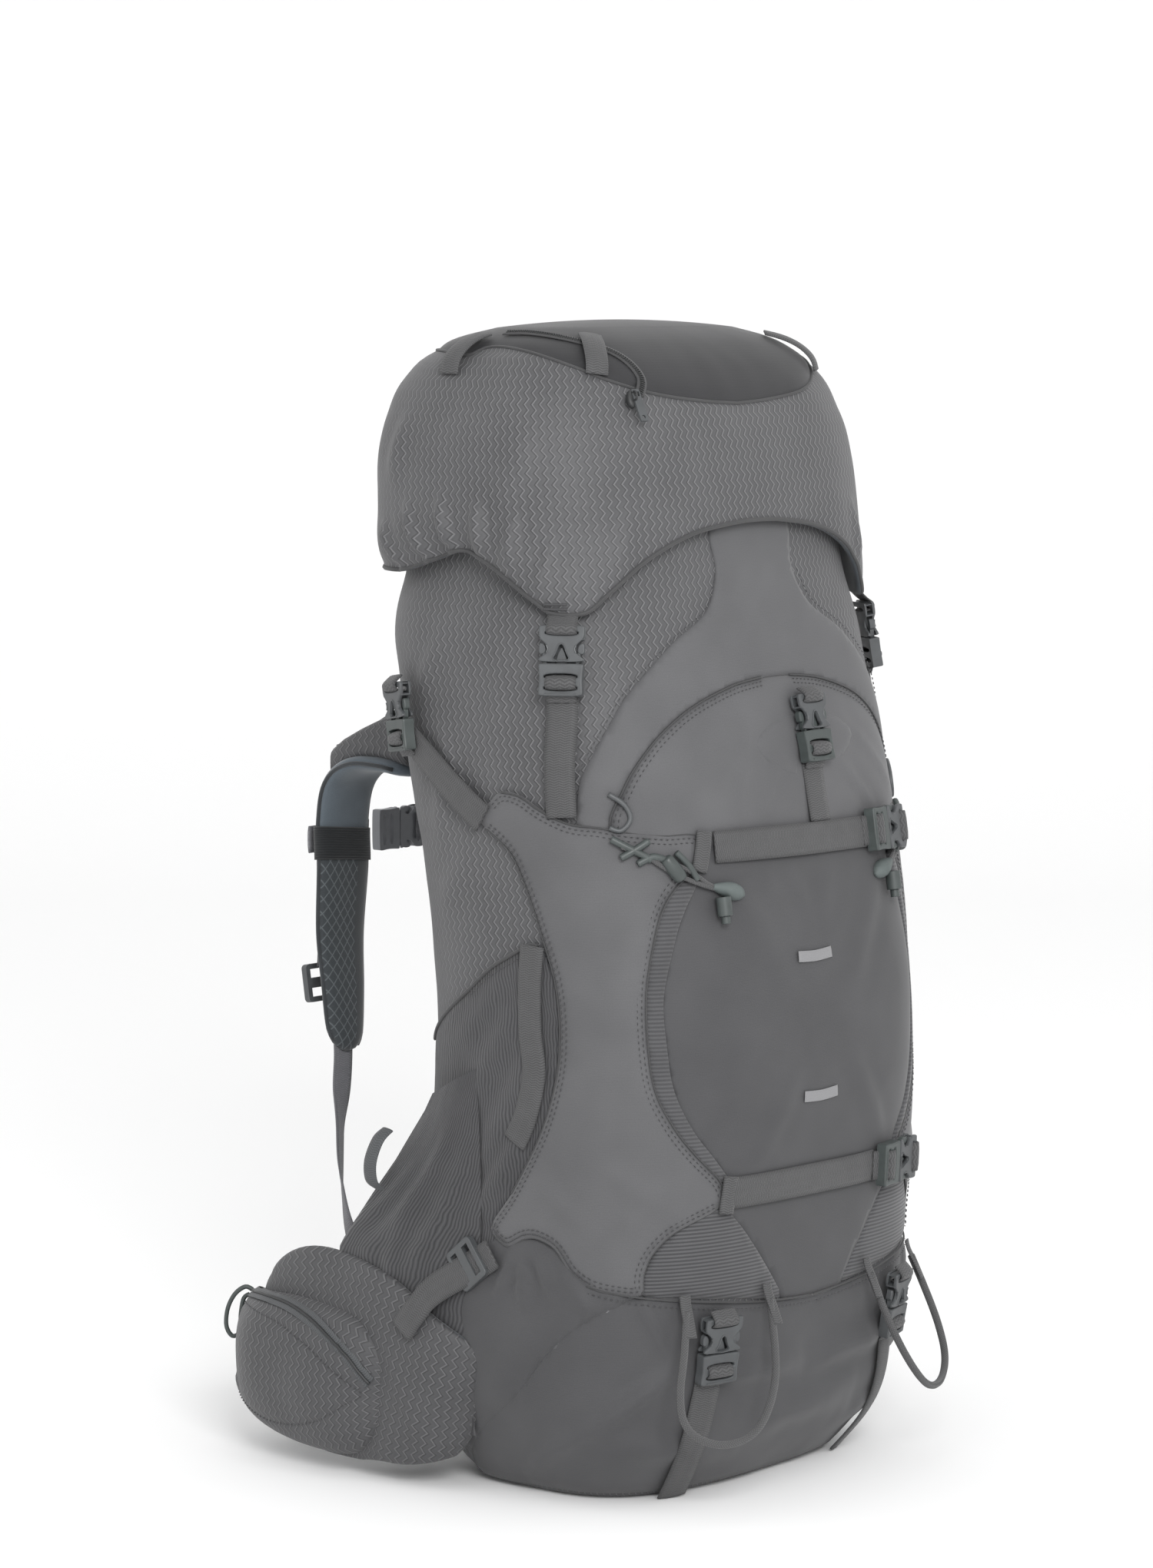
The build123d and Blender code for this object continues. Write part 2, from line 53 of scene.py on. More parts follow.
# ---------------------------------------------------------------- the shape of the bag and lid
# plan outline at each height: z, half width, front y, back y
BAG = [
    (0, 129, -102, 72), (30, 150, -125, 86), (100, 164, -142, 92), (200, 166, -150, 88),
    (300, 165, -152, 86), (400, 165, -140, 97), (500, 167, -122, 114), (575, 163, -102, 119),
    (645, 154, -90, 111),
]
LID = [
    (575, 172, -111, 129), (600, 172, -107, 129), (650, 172, -98, 127), (700, 168, -86, 121),
    (724, 158, -75, 112), (741, 141, -58, 97), (752, 118, -38, 78), (757, 98, -22, 60),
]
SQUARENESS = 3.0  # exponent of the rounded-rectangle plan outline
COLLAR_TOP = 641.0
LID_CEILING = 655.0


def table_at(stations, z):
    """Half width, front y and back y at heights z, on smooth curves through the stations."""
    table = np.array(stations, float)
    heights = table[:, 0]
    z = np.clip(z, heights[0], heights[-1])
    k = np.clip(np.searchsorted(heights, z) - 1, 0, len(heights) - 2)
    step = heights[k + 1] - heights[k]
    t = (z - heights[k]) / step
    columns = []
    for column in (1, 2, 3):
        value = table[:, column]
        slope = np.gradient(value, heights)
        columns.append(
            (2 * t**3 - 3 * t**2 + 1) * value[k] + (t**3 - 2 * t**2 + t) * step * slope[k]
            + (3 * t**2 - 2 * t**3) * value[k + 1] + (t**3 - t**2) * step * slope[k + 1]
        )
    return columns


def skin(z, degrees, lift=0.0, stations=BAG):
    """Points on the outline: 0 degrees is +X, -90 the front, -180 the left side, 90 the back."""
    z, degrees = np.asarray(z, float), np.asarray(degrees, float)
    half, front, back = table_at(stations, z)
    c, s = np.cos(np.radians(degrees)), np.sin(np.radians(degrees))
    reach = (np.abs(c) ** SQUARENESS + np.abs(s) ** SQUARENESS) ** (-1 / SQUARENESS)
    x = (half + lift) * reach * c
    y = (front + back) / 2 + ((back - front) / 2 + lift) * reach * s
    return np.stack([x, y, z + 0 * x], -1)


def skin_normal(z, degrees, stations=BAG):
    """Outward unit normals of the outline's surface."""
    across = skin(z, np.asarray(degrees) + 1, 0, stations) - skin(z, np.asarray(degrees) - 1, 0, stations)
    up = skin(np.asarray(z) + 3, degrees, 0, stations) - skin(np.asarray(z) - 3, degrees, 0, stations)
    normal = np.cross(across, up)
    return normal / np.linalg.norm(normal, axis=-1, keepdims=True)


TURNS = np.linspace(-270, 90, 1441)
GIRTH_Z = 300.0
GIRTH = skin(np.full_like(TURNS, GIRTH_Z), TURNS)
ARC = np.concatenate([[0], np.cumsum(np.linalg.norm(np.diff(GIRTH, axis=0), axis=1))])
ARC -= np.interp(-90, TURNS, ARC)


def arc_of(degrees):
    """Distance round the bag from the middle of the front."""
    return np.interp(degrees, TURNS, ARC)


def degrees_of(arc):
    return np.interp(arc, ARC, TURNS)


def flat(places):
    """(z, degrees) places as flat (arc, z) points."""
    places = np.array(places, float)
    return np.stack([arc_of(places[:, 1]), places[:, 0]], -1)


def mirrored(places):
    """The same places on the other side of the pack."""
    return [(z, -180 - degrees) for z, degrees in places]


def curve_through(points, spacing=5.0, closed=False):
    """Points about spacing apart on a smooth curve through the given ones."""
    points = np.array(points, float)
    count = len(points)
    found = []
    for k in range(count if closed else count - 1):
        b, c = points[k], points[(k + 1) % count]
        a = points[k - 1] if closed or k > 0 else b
        d = points[(k + 2) % count] if closed or k + 2 < count else c
        steps = max(1, math.ceil(np.linalg.norm(c - b) / spacing))
        for t in np.arange(steps) / steps:
            found.append(0.5 * (2 * b + (c - a) * t + (2 * a - 5 * b + 4 * c - d) * t**2
                                + (3 * b - a - 3 * c + d) * t**3))
    if not closed:
        found.append(points[-1])
    return np.array(found)


def line_distance(points, line, closed=False):
    """Distance of each point to a line of points."""
    ends = np.roll(line, -1, axis=0) if closed else line[1:]
    starts = line if closed else line[:-1]
    best = np.full(len(points), 1e9)
    for a, b in zip(starts, ends):
        along = b - a
        share = np.clip(((points - a) @ along) / max(along @ along, 1e-9), 0, 1)
        best = np.minimum(best, np.linalg.norm(points - a - share[:, None] * along, axis=1))
    return best


def inside(points, loop):
    """Whether each point is inside a closed loop."""
    hit = np.zeros(len(points), bool)
    for a, b in zip(loop, np.roll(loop, -1, axis=0)):
        crosses = (a[1] > points[:, 1]) != (b[1] > points[:, 1])
        height = b[1] - a[1]
        if abs(height) > 1e-9:
            x = a[0] + (points[:, 1] - a[1]) / height * (b[0] - a[0])
            hit ^= crosses & (points[:, 0] < x)
    return hit


def rumple(points, size, seed=0.0):
    """Smooth noise between about -1 and 1 at each point."""
    return np.array([noise.noise(Vector((*(p / size), seed)[:3]) + Vector((seed, 2 * seed,
                                                                           0))) for p in points])


def fold(points, a, b, width, height):
    """A crease from a to b that fades at its ends: a ridge with a valley each side."""
    a, b = np.array(a, float), np.array(b, float)
    along = b - a
    share = ((points - a) @ along) / (along @ along)
    gap = np.linalg.norm(points - a - np.clip(share, 0, 1)[:, None] * along, axis=1) / width
    fade = np.clip(np.minimum(share + 0.15, 1.15 - share) / 0.4, 0, 1)
    return height * fade * (1 - 1.2 * gap**2) * np.exp(-gap**2)


def fold_at(points, start, end, width, height):
    """The same crease between two (z, degrees) places, on flat points."""
    (a, b) = flat([start, end])
    return fold(points, a, b, width, height)


# ---------------------------------------------------------------- meshes
def make_piece(name, verts, faces, material, body, slot, uvs=None, replaces=(), smooth=True, ids=None):
    """A mesh object in metres that rides on a body, unless body is None.

    uvs are millimetres at each vertex."""
    mesh = bpy.data.meshes.new(name)
    mesh.from_pydata((np.asarray(verts, float) * MM).tolist(), [], [list(map(int, f)) for f in faces])
    materials = material if isinstance(material, list) else [material]
    for each in materials:
        mesh.materials.append(each)
    if ids is not None:
        mesh.polygons.foreach_set("material_index", np.asarray(ids, np.int32))
    if uvs is not None:
        layer = mesh.uv_layers.new(name="cloth")
        loops = np.zeros(len(mesh.loops), np.int32)
        mesh.loops.foreach_get("vertex_index", loops)
        layer.data.foreach_set("uv", (np.asarray(uvs, float)[loops] * MM).astype(np.float32).ravel())
    mesh.polygons.foreach_set("use_smooth", np.full(len(mesh.polygons), smooth))
    mesh.update()
    piece = bpy.data.objects.new(name, mesh)
    bpy.context.scene.collection.objects.link(piece)
    if body is not None:
        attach(piece, body)
    if replaces:
        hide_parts(*replaces)
    return piece


def grid_faces(rows, columns, closed=False):
    """Quads of a grid of points; closed joins the last column to the first."""
    faces = []
    for r in range(rows - 1):
        for c in range(columns if closed else columns - 1):
            d = (c + 1) % columns
            faces.append((r * columns + c, r * columns + d, (r + 1) * columns + d, (r + 1) * columns + c))
    return faces


class Parts:
    """Gathers several small meshes into one."""

    def __init__(self):
        self.verts, self.faces, self.uvs = [], [], []

    def add(self, verts, faces, uvs=None):
        start = len(self.verts)
        self.verts.extend(np.asarray(verts, float).tolist())
        self.faces.extend([tuple(i + start for i in f) for f in faces])
        self.uvs.extend((np.zeros((len(verts), 2)) if uvs is None else np.asarray(uvs, float)).tolist())

    def piece(self, name, material, body, slot, replaces=(), smooth=True):
        return make_piece(name, self.verts, self.faces, material, body, slot, self.uvs, replaces, smooth)


def sewn(places, base=1.0, puff=2.5, reach=10.0, spacing=5.0, shape=None, stations=BAG, tuck=2.5):
    """A fabric panel on the bag inside a loop of places, swelling away from its sewn edge.

    Returns vertices, faces and uvs. The rim turns down by tuck, so that the panel has a visible thickness."""
    loop = curve_through(flat(places), spacing, True)
    low, high = loop.min(0), loop.max(0)
    row_step = spacing * 0.87
    grid = []
    for row, z in enumerate(np.arange(low[1] + row_step / 2, high[1], row_step)):
        xs = np.arange(low[0] + (row % 2) * spacing / 2, high[0], spacing)
        grid.append(np.stack([xs, np.full_like(xs, z)], -1))
    grid = np.concatenate(grid)
    grid = grid[inside(grid, loop)]
    grid = grid[line_distance(grid, loop, True) > 0.45 * spacing]
    count = len(loop)
    points = np.concatenate([loop, grid])
    edges = [(k, (k + 1) % count) for k in range(count)]
    found, _, faces, _, _, _ = delaunay_2d_cdt([Vector(p) for p in points], edges, [], 1, 1e-4)
    found = np.array([tuple(p) for p in found])
    faces = [tuple(f) for f in faces]
    gap = line_distance(found, loop, True)
    lift = base + puff * (1 - np.exp(-gap / reach))
    if shape is not None:
        lift = lift + shape(found, gap)
    verts = skin(found[:, 1], degrees_of(found[:, 0]), lift, stations)
    use = {}
    for f in faces:
        for a, b in zip(f, f[1:] + f[:1]):
            use[(a, b)] = True
    border = [(a, b) for a, b in use if (b, a) not in use]
    index = {}
    lower, lower_flat = [], []
    for a, b in border:
        for v in (a, b):
            if v not in index:
                index[v] = len(found) + len(lower)
                lower.append(skin(found[v, 1], degrees_of(found[v, 0]), base - tuck, stations))
                lower_flat.append(found[v])
    faces = faces + [(b, a, index[a], index[b]) for a, b in border]
    return (np.concatenate([verts, np.array(lower)]), faces, np.concatenate([found, np.array(lower_flat)]))


def panel_piece(name, places, material, slot, replaces=(), both=False, **how):
    """A sewn panel; both adds the one on the other side to the same piece."""
    parts = Parts()
    parts.add(*sewn(places, **how))
    if both:
        verts, faces, uvs = sewn(places, **how)
        verts = verts * [-1, 1, 1]
        parts.add(verts, [f[::-1] for f in faces], uvs * [-1, 1])
    return parts.piece(name, material, "pack", slot, replaces)


def travel_along(points):
    """Distance from the start of a line at each of its points."""
    steps = np.linalg.norm(np.diff(points, axis=0), axis=1)
    return np.concatenate([[0], np.cumsum(steps)])


def frames_along(points, normals):
    """Side and outward directions at each point of a line."""
    along = np.gradient(points, axis=0)
    along /= np.linalg.norm(along, axis=1, keepdims=True)
    side = np.cross(along, normals)
    side /= np.linalg.norm(side, axis=1, keepdims=True)
    return along, side, np.cross(side, along)


def band(points, normals, width, thick=1.6, bow=0.0):
    """Webbing whose lower face follows the points: verts, faces and uvs. width may be a list."""
    points, normals = np.asarray(points, float), np.asarray(normals, float)
    _, side, out = frames_along(points, normals)
    travel = travel_along(points)
    widths = np.broadcast_to(np.asarray(width, float), (len(points),))
    shares = np.linspace(-1, 1, 5)
    section = [(s, thick * (1.0 if abs(s) < 1 else 0.72)) for s in shares]
    section += [(1.03, thick * 0.4)] + [(s, 0.0) for s in shares[::-1]] + [(-1.03, thick * 0.4)]
    verts, uvs = [], []
    for k in range(len(points)):
        for s, height in section:
            lift = height + bow * (1 - s * s)
            verts.append(points[k] + side[k] * s * widths[k] / 2 + out[k] * lift)
            uvs.append((s * widths[k] / 2, travel[k]))
    count = len(section)
    faces = grid_faces(len(points), count, True)
    last = (len(points) - 1) * count
    faces = [f[::-1] for f in faces]
    faces += [tuple(range(count)), tuple(last + k for k in reversed(range(count)))]
    return np.array(verts), faces, np.array(uvs)


def surface_line(places, lift, spacing=4.0, stations=BAG):
    """A smooth line over the bag through (z, degrees) or (z, degrees, extra lift) places, with normals."""
    rows = [(arc_of(p[1]), p[0], lift + sum(p[2:])) for p in places]
    line = curve_through(rows, spacing)
    degrees = degrees_of(line[:, 0])
    normals = skin_normal(line[:, 1], degrees, stations)
    points = skin(line[:, 1], degrees, 0, stations) + normals * line[:, 2:3]
    return points, normals


def space_line(points, faces, spacing=4.0):
    """A smooth line through points in space, with smoothly turning normals."""
    both = np.concatenate([np.array(points, float), np.array(faces, float) * 20], axis=1)
    line = curve_through(both, spacing)
    normals = line[:, 3:]
    return line[:, :3], normals / np.linalg.norm(normals, axis=1, keepdims=True)


def tube(points, radius, sides=8, closed=False):
    """A round cord: verts, faces and uvs."""
    points = np.asarray(points, float)
    radii = np.broadcast_to(np.asarray(radius, float), (len(points),))
    if closed:
        along = np.roll(points, -1, axis=0) - np.roll(points, 1, axis=0)
    else:
        along = np.gradient(points, axis=0)
    along /= np.linalg.norm(along, axis=1, keepdims=True)
    side = np.cross(along[0], (0.3, 0.2, 1.0))
    travel = travel_along(points)
    verts, uvs = [], []
    for k in range(len(points)):
        side = side - along[k] * (side @ along[k])
        side /= np.linalg.norm(side)
        up = np.cross(along[k], side)
        for s in range(sides):
            turn = 2 * math.pi * s / sides
            verts.append(points[k] + (side * math.cos(turn) + up * math.sin(turn)) * radii[k])
            uvs.append((s / sides * 2 * math.pi * radii[k], travel[k]))
    faces = grid_faces(len(points), sides, True)
    if closed:
        last = (len(points) - 1) * sides
        faces += [(last + s, last + (s + 1) % sides, (s + 1) % sides, s) for s in range(sides)]
    else:
        last = (len(points) - 1) * sides
        faces += [tuple(reversed(range(sides))), tuple(last + s for s in range(sides))]
    return np.array(verts), faces, np.array(uvs)


STITCH_LENGTH, STITCH_STEP, STITCH_WIDTH = 2.6, 4.0, 0.8


def stitches(parts, points, normals, height=0.5):
    """A row of raised thread stitches along a line."""
    points = np.asarray(points, float)
    travel = travel_along(points)
    stops = np.arange(1.5, travel[-1] - 1.5, STITCH_STEP)
    for stop in stops:
        ends = [np.array([np.interp(stop + d, travel, points[:, i]) for i in range(3)])
                for d in (-STITCH_LENGTH / 2, STITCH_LENGTH / 2)]
        normal = np.array([np.interp(stop, travel, normals[:, i]) for i in range(3)])
        along = ends[1] - ends[0]
        side = np.cross(along, normal)
        side /= max(np.linalg.norm(side), 1e-9)
        half, rise = side * STITCH_WIDTH / 2, normal * height
        middle = (ends[0] + ends[1]) / 2
        verts = [ends[0] - rise * 0.6, ends[1] - rise * 0.6, middle + half - rise * 0.3,
                 middle - half - rise * 0.3,
                 middle + rise + along * 0.25, middle + rise - along * 0.25]
        faces = [(5, 3, 4), (3, 1, 4), (4, 1, 2), (5, 4, 2), (0, 5, 2), (0, 3, 5), (0, 2, 1), (0, 1, 3)]
        parts.add(verts, faces)


# ---------------------------------------------------------------- materials
TONE = 0.75  # every colour is held down a little, for the bright studio


def linear(code):
    """A hex colour as linear red, green, blue, alpha."""
    parts = [int(code[k:k + 2], 16) / 255 for k in (1, 3, 5)]
    return [TONE * (p / 12.92 if p <= 0.04045 else ((p + 0.055) / 1.055) ** 2.4) for p in parts] + [1.0]


class Surface:
    """Builds one procedural material."""

    def __init__(self, name, roughness, specular=0.35, sheen=0.0):
        self.material = bpy.data.materials.new(name)
        self.material.use_nodes = True
        self.nodes, self.links = self.material.node_tree.nodes, self.material.node_tree.links
        self.shader = self.nodes["Principled BSDF"]
        self.shader.inputs["Roughness"].default_value = roughness
        self.shader.inputs["Specular IOR Level"].default_value = specular
        self.shader.inputs["Sheen Weight"].default_value = sheen
        self.shader.inputs["Sheen Roughness"].default_value = 0.5

    def node(self, kind, inputs=(), **settings):
        made = self.nodes.new(kind)
        for key, value in settings.items():
            setattr(made, key, value)
        for key, value in dict(inputs).items():
            if isinstance(value, bpy.types.NodeSocket):
                self.links.new(value, made.inputs[key])
            else:
                made.inputs[key].default_value = value
        return made

    def math(self, operation, a, b=0.0, c=0.0):
        return self.node("ShaderNodeMath", {0: a, 1: b, 2: c}, operation=operation).outputs[0]

    def cloth(self):
        """Cloth coordinates in millimetres: across, up, and both as a vector."""
        uv = self.node("ShaderNodeUVMap", uv_map="cloth").outputs[0]
        scaled = self.node("ShaderNodeVectorMath", {0: uv, "Scale": 1000.0}, operation="SCALE").outputs[0]
        split = self.node("ShaderNodeSeparateXYZ", {0: scaled})
        return split.outputs[0], split.outputs[1], scaled

    def place(self):
        """Object coordinates in millimetres."""
        spot = self.node("ShaderNodeTexCoord").outputs["Object"]
        return self.node("ShaderNodeVectorMath", {0: spot, "Scale": 1000.0}, operation="SCALE").outputs[0]

    def noise(self, vector, size, detail=2.0):
        """Noise whose patches are about size millimetres."""
        inputs = {"Vector": vector, "Scale": 1.0 / size, "Detail": detail}
        return self.node("ShaderNodeTexNoise", inputs).outputs[0]

    def span(self, value, low, high, out_low=0.0, out_high=1.0):
        """value stretched from low..high to out_low..out_high, and clamped."""
        inputs = {0: value, 1: low, 2: high, 3: out_low, 4: out_high}
        return self.node("ShaderNodeMapRange", inputs).outputs[0]

    def stripe(self, value, period, sharp=0.28):
        """1 on lines that are period apart, falling to 0 between them."""
        part = self.math("FRACT", self.math("DIVIDE", value, period))
        away = self.math("ABSOLUTE", self.math("SUBTRACT", part, 0.5))
        return self.span(away, 0.5 - sharp, 0.5)

    def colours(self, share, first, second):
        """Mixes two hex colours into the base colour by share."""
        mix = self.node("ShaderNodeMix", {0: share, 6: linear(first), 7: linear(second)}, data_type="RGBA")
        return mix.outputs[2]

    def shade(self, colour, value, amount):
        """Darkens or lightens a colour by value, around one half."""
        factor = self.span(value, 0.2, 0.8, 1 - amount, 1 + amount)
        return self.node("ShaderNodeVectorMath", {0: colour, "Scale": factor}, operation="SCALE").outputs[0]

    def done(self, colour, height=None, depth=0.3, strength=0.6):
        self.links.new(colour, self.shader.inputs["Base Color"])
        if height is not None:
            inputs = {"Height": height, "Distance": depth * MM, "Strength": strength}
            bump = self.node("ShaderNodeBump", inputs)
            self.links.new(bump.outputs[0], self.shader.inputs["Normal"])
        return self.material


def plain_cloth(name, dark, light, roughness=0.72, sheen=0.12):
    """Tightly woven smooth nylon."""
    s = Surface(name, roughness, 0.32, sheen)
    _, up, both = s.cloth()
    grain = s.noise(both, 0.9, 3)
    patch = s.noise(both, 55, 2)
    colour = s.colours(s.span(patch, 0.3, 0.7), dark, light)
    colour = s.shade(colour, grain, 0.07)
    weave = s.math("ADD", s.math("MULTIPLY", s.stripe(up, 0.9, 0.5), 0.35), s.math("MULTIPLY", grain, 0.8))
    return s.done(colour, weave, 0.16, 0.45)


ZIGZAG_SPACING, ZIGZAG_PERIOD, ZIGZAG_SWING = 5.6, 7.2, 3.2


def ripstop_cloth(name, dark, light, line):
    """Nylon with a raised zigzag ripstop thread, painted lighter as a highlight, with a painted shadow beside
    it and painted shade stepping across each gap.
    """
    s = Surface(name, 0.62, 0.4, 0.1)
    across, up, both = s.cloth()
    zig = s.math("PINGPONG", up, ZIGZAG_PERIOD / 2)
    moved = s.math("ADD", across, s.math("MULTIPLY", zig, 2 * ZIGZAG_SWING / ZIGZAG_PERIOD))
    thread = s.stripe(moved, ZIGZAG_SPACING, 0.15)
    # a painted shadow along one side of each thread
    shadow = s.stripe(s.math("ADD", moved, 1.0), ZIGZAG_SPACING, 0.17)
    # painted shade: darkest just after each thread, lightening towards the next one
    step = s.math("FRACT", s.math("DIVIDE", moved, ZIGZAG_SPACING))
    patch = s.noise(both, 45, 2)
    grain = s.noise(both, 0.8, 2)
    tone = s.colours(s.span(patch, 0.3, 0.7), dark, light)
    tone = s.shade(tone, step, 0.09)
    tone = s.shade(tone, grain, 0.05)
    tone = s.shade(tone, s.math("SUBTRACT", 0.5, s.math("MULTIPLY", shadow, 0.3)), 0.55)
    # the thread's lighter colour is a painted highlight on the raised thread
    mix = s.node("ShaderNodeMix", {0: s.math("MULTIPLY", thread, 0.8), 6: tone, 7: linear(line)},
                 data_type="RGBA")
    height = s.math("ADD", s.math("MULTIPLY", thread, 0.9), s.math("MULTIPLY", step, 0.35))
    return s.done(mix.outputs[2], height, 0.45, 0.8)


def ribbed_cloth(name, dark, light, along_up, period, waviness=0.0, roughness=0.85):
    """Stretch fabric with fine ribs that run up the cloth or across it."""
    s = Surface(name, roughness, 0.25, 0.2)
    across, up, both = s.cloth()
    value = across if along_up else up
    if waviness:
        drift = s.noise(both, 26, 2)
        value = s.math("ADD", value, s.math("MULTIPLY", drift, waviness))
    rib = s.stripe(value, period, 0.45)
    patch = s.noise(both, 38, 2)
    colour = s.colours(rib, light, dark)
    colour = s.shade(colour, patch, 0.12)
    colour = s.shade(colour, s.noise(both, 0.9, 2), 0.06)
    return s.done(colour, s.math("SUBTRACT", 1.0, rib), 0.45, 0.7)


def webbing_cloth(name, dark, light, half_width, roughness=0.66):
    """Woven webbing: fine cross ribs, a twill centre and tighter edges."""
    s = Surface(name, roughness, 0.3, 0.1)
    across, up, both = s.cloth()
    slant = s.math("PINGPONG", across, 3.2)
    rib = s.stripe(s.math("ADD", up, s.math("MULTIPLY", slant, 0.35)), 1.55, 0.5)
    cord = s.stripe(across, 1.6, 0.4)
    edge = s.span(s.math("ABSOLUTE", across), half_width - 2.2, half_width - 0.6)
    colour = s.colours(rib, light, dark)
    colour = s.shade(colour, s.math("SUBTRACT", 0.75, s.math("MULTIPLY", edge, 0.6)), 0.12)
    colour = s.shade(colour, s.noise(both, 14, 3), 0.08)
    height = s.math("ADD", s.math("MULTIPLY", rib, -0.7), s.math("MULTIPLY", cord, -0.3))
    return s.done(colour, height, 0.35, 0.8)


def moulded(name, dark, light, roughness=0.42, specular=0.5):
    """Injection-moulded plastic with a fine grain and slightly worn, uneven tone."""
    s = Surface(name, roughness, specular)
    spot = s.place()
    patch = s.noise(spot, 9, 3)
    grain = s.noise(spot, 0.5, 2)
    colour = s.colours(s.span(patch, 0.3, 0.7), dark, light)
    s.links.new(s.span(patch, 0.3, 0.7, roughness - 0.05, roughness + 0.1), s.shader.inputs["Roughness"])
    return s.done(colour, grain, 0.06, 0.35)


def foam_skin(name, dark, light):
    """Soft knitted facing over moulded foam."""
    s = Surface(name, 0.9, 0.2, 0.35)
    _, _, both = s.cloth()
    knit = s.noise(both, 1.1, 2)
    colour = s.colours(s.span(s.noise(both, 30, 2), 0.3, 0.7), dark, light)
    colour = s.shade(colour, knit, 0.07)
    return s.done(colour, knit, 0.25, 0.5)


def lattice_cloth(name, dark, light, size=7.0):
    """Dark facing with a pale printed diamond lattice over a hexagonal mesh."""
    s = Surface(name, 0.85, 0.22, 0.25)
    across, up, both = s.cloth()
    one = s.stripe(s.math("ADD", across, s.math("MULTIPLY", up, 0.7)), size, 0.1)
    two = s.stripe(s.math("SUBTRACT", across, s.math("MULTIPLY", up, 0.7)), size, 0.1)
    lines = s.math("MAXIMUM", one, two)
    knit = s.noise(both, 1.2, 2)
    colour = s.colours(s.math("MULTIPLY", lines, 0.55), dark, light)
    colour = s.shade(colour, knit, 0.1)
    return s.done(colour, s.math("ADD", s.math("MULTIPLY", knit, 0.5), lines), 0.4, 0.6)


def airmesh_cloth(name, dark, light, size=4.2):
    """Spacer mesh with rows of small round holes."""
    s = Surface(name, 0.9, 0.2, 0.25)
    across, up, both = s.cloth()
    one = s.stripe(across, size, 0.3)
    two = s.stripe(up, size, 0.3)
    hole = s.math("MULTIPLY", one, two)
    colour = s.colours(hole, light, dark)
    colour = s.shade(colour, s.noise(both, 20, 2), 0.1)
    return s.done(colour, s.math("SUBTRACT", 1.0, hole), 0.9, 0.8)


def braided_cord(name, dark, light, size=1.8):
    """Round braided cord."""
    s = Surface(name, 0.7, 0.3, 0.15)
    across, up, _ = s.cloth()
    one = s.stripe(s.math("ADD", across, up), size, 0.35)
    two = s.stripe(s.math("SUBTRACT", across, up), size, 0.35)
    weave = s.math("MAXIMUM", one, two)
    colour = s.colours(weave, light, dark)
    return s.done(colour, s.math("SUBTRACT", 1.0, weave), 0.4, 0.7)


# the third colour of each ripstop is its thread, painted lighter as a highlight
RIPSTOP = ripstop_cloth("ripstop", "#535355", "#5b5b5d", "#8a8a8c")
CLOTH = plain_cloth("smooth_cloth", "#5d5d5f", "#656567")
FRONT_CLOTH = plain_cloth("front_cloth", "#4a4a4c", "#515153")
TOP_CLOTH = plain_cloth("top_cloth", "#2e2e30", "#353537", 0.6)
# the bottom's cloth is held darker than the smooth cloth as painted shade on the low panels, against the
# floor's bounce light
BOTTOM_CLOTH_PAINTED_SHADE = plain_cloth("bottom_cloth_painted_shade", "#4b4b4d", "#525254")
# a darker copy of the ripstop: painted shade on the hip belt, also used for the yoke wedges
HIP_RIPSTOP_PAINTED_SHADE = ripstop_cloth("hip_ripstop_painted_shade", "#4b4b4d", "#525254", "#78787a")
LINING = plain_cloth("lining", "#3c4146", "#444a50")
BINDING = plain_cloth("binding", "#454546", "#4c4c4d", 0.7)
STRETCH = ribbed_cloth("stretch", "#363638", "#565658", True, 2.3, 10.0)
GUSSET = ribbed_cloth("gusset", "#3f3f41", "#646466", False, 2.4)
ELASTIC = ribbed_cloth("elastic", "#48484a", "#5e5e60", False, 2.6)
BLACK_ELASTIC = ribbed_cloth("dark_elastic", "#1c1e20", "#2a2c2e", False, 1.6)
WEBBING = webbing_cloth("webbing", "#434344", "#5b5b5c", 10)
# a lighter copy of the webbing: painted light on the harness and sternum straps, which sit in the bag's shade
HARNESS_WEBBING_PAINTED_LIGHT = webbing_cloth("harness_webbing", "#6c6c70", "#7e7e82", 8)
DARK_WEBBING = webbing_cloth("dark_webbing", "#47494b", "#5c5e60", 8)
THREAD = plain_cloth("thread", "#444446", "#4d4d4f", 0.6)
REFLECTIVE = plain_cloth("reflective", "#8c8c8e", "#949496", 0.4)
BUCKLE = moulded("buckle_plastic", "#4d4f51", "#55585a")
HARD_GREEN = moulded("compression_plastic", "#424847", "#4b5251")
# a lighter copy of the buckle plastic: painted light on the sternum buckle, which sits in shade
STERNUM_PLASTIC_PAINTED_LIGHT = moulded("harness_plastic", "#7c7e82", "#85878b")
BULB = moulded("bulb_rubber", "#5f6766", "#6a7271", 0.6, 0.3)
FRAME_PLASTIC = moulded("frame_plastic", "#26282a", "#2e3032", 0.5)
ALUMINIUM = moulded("aluminium", "#9a9c9e", "#a6a8aa", 0.35)
ALUMINIUM.node_tree.nodes["Principled BSDF"].inputs["Metallic"].default_value = 1.0
FOAM = foam_skin("blue_grey_foam", "#5b646b", "#656e76")
DARK_FOAM = foam_skin("dark_foam", "#35383b", "#3e4144")
LATTICE = lattice_cloth("lattice_facing", "#3e4245", "#7b8285")
AIRMESH = airmesh_cloth("airmesh", "#26292b", "#4a4f53")
CORD = braided_cord("cord", "#4b4b4c", "#666667")
COIL = moulded("zip_coil", "#2c2d2e", "#343536", 0.5)


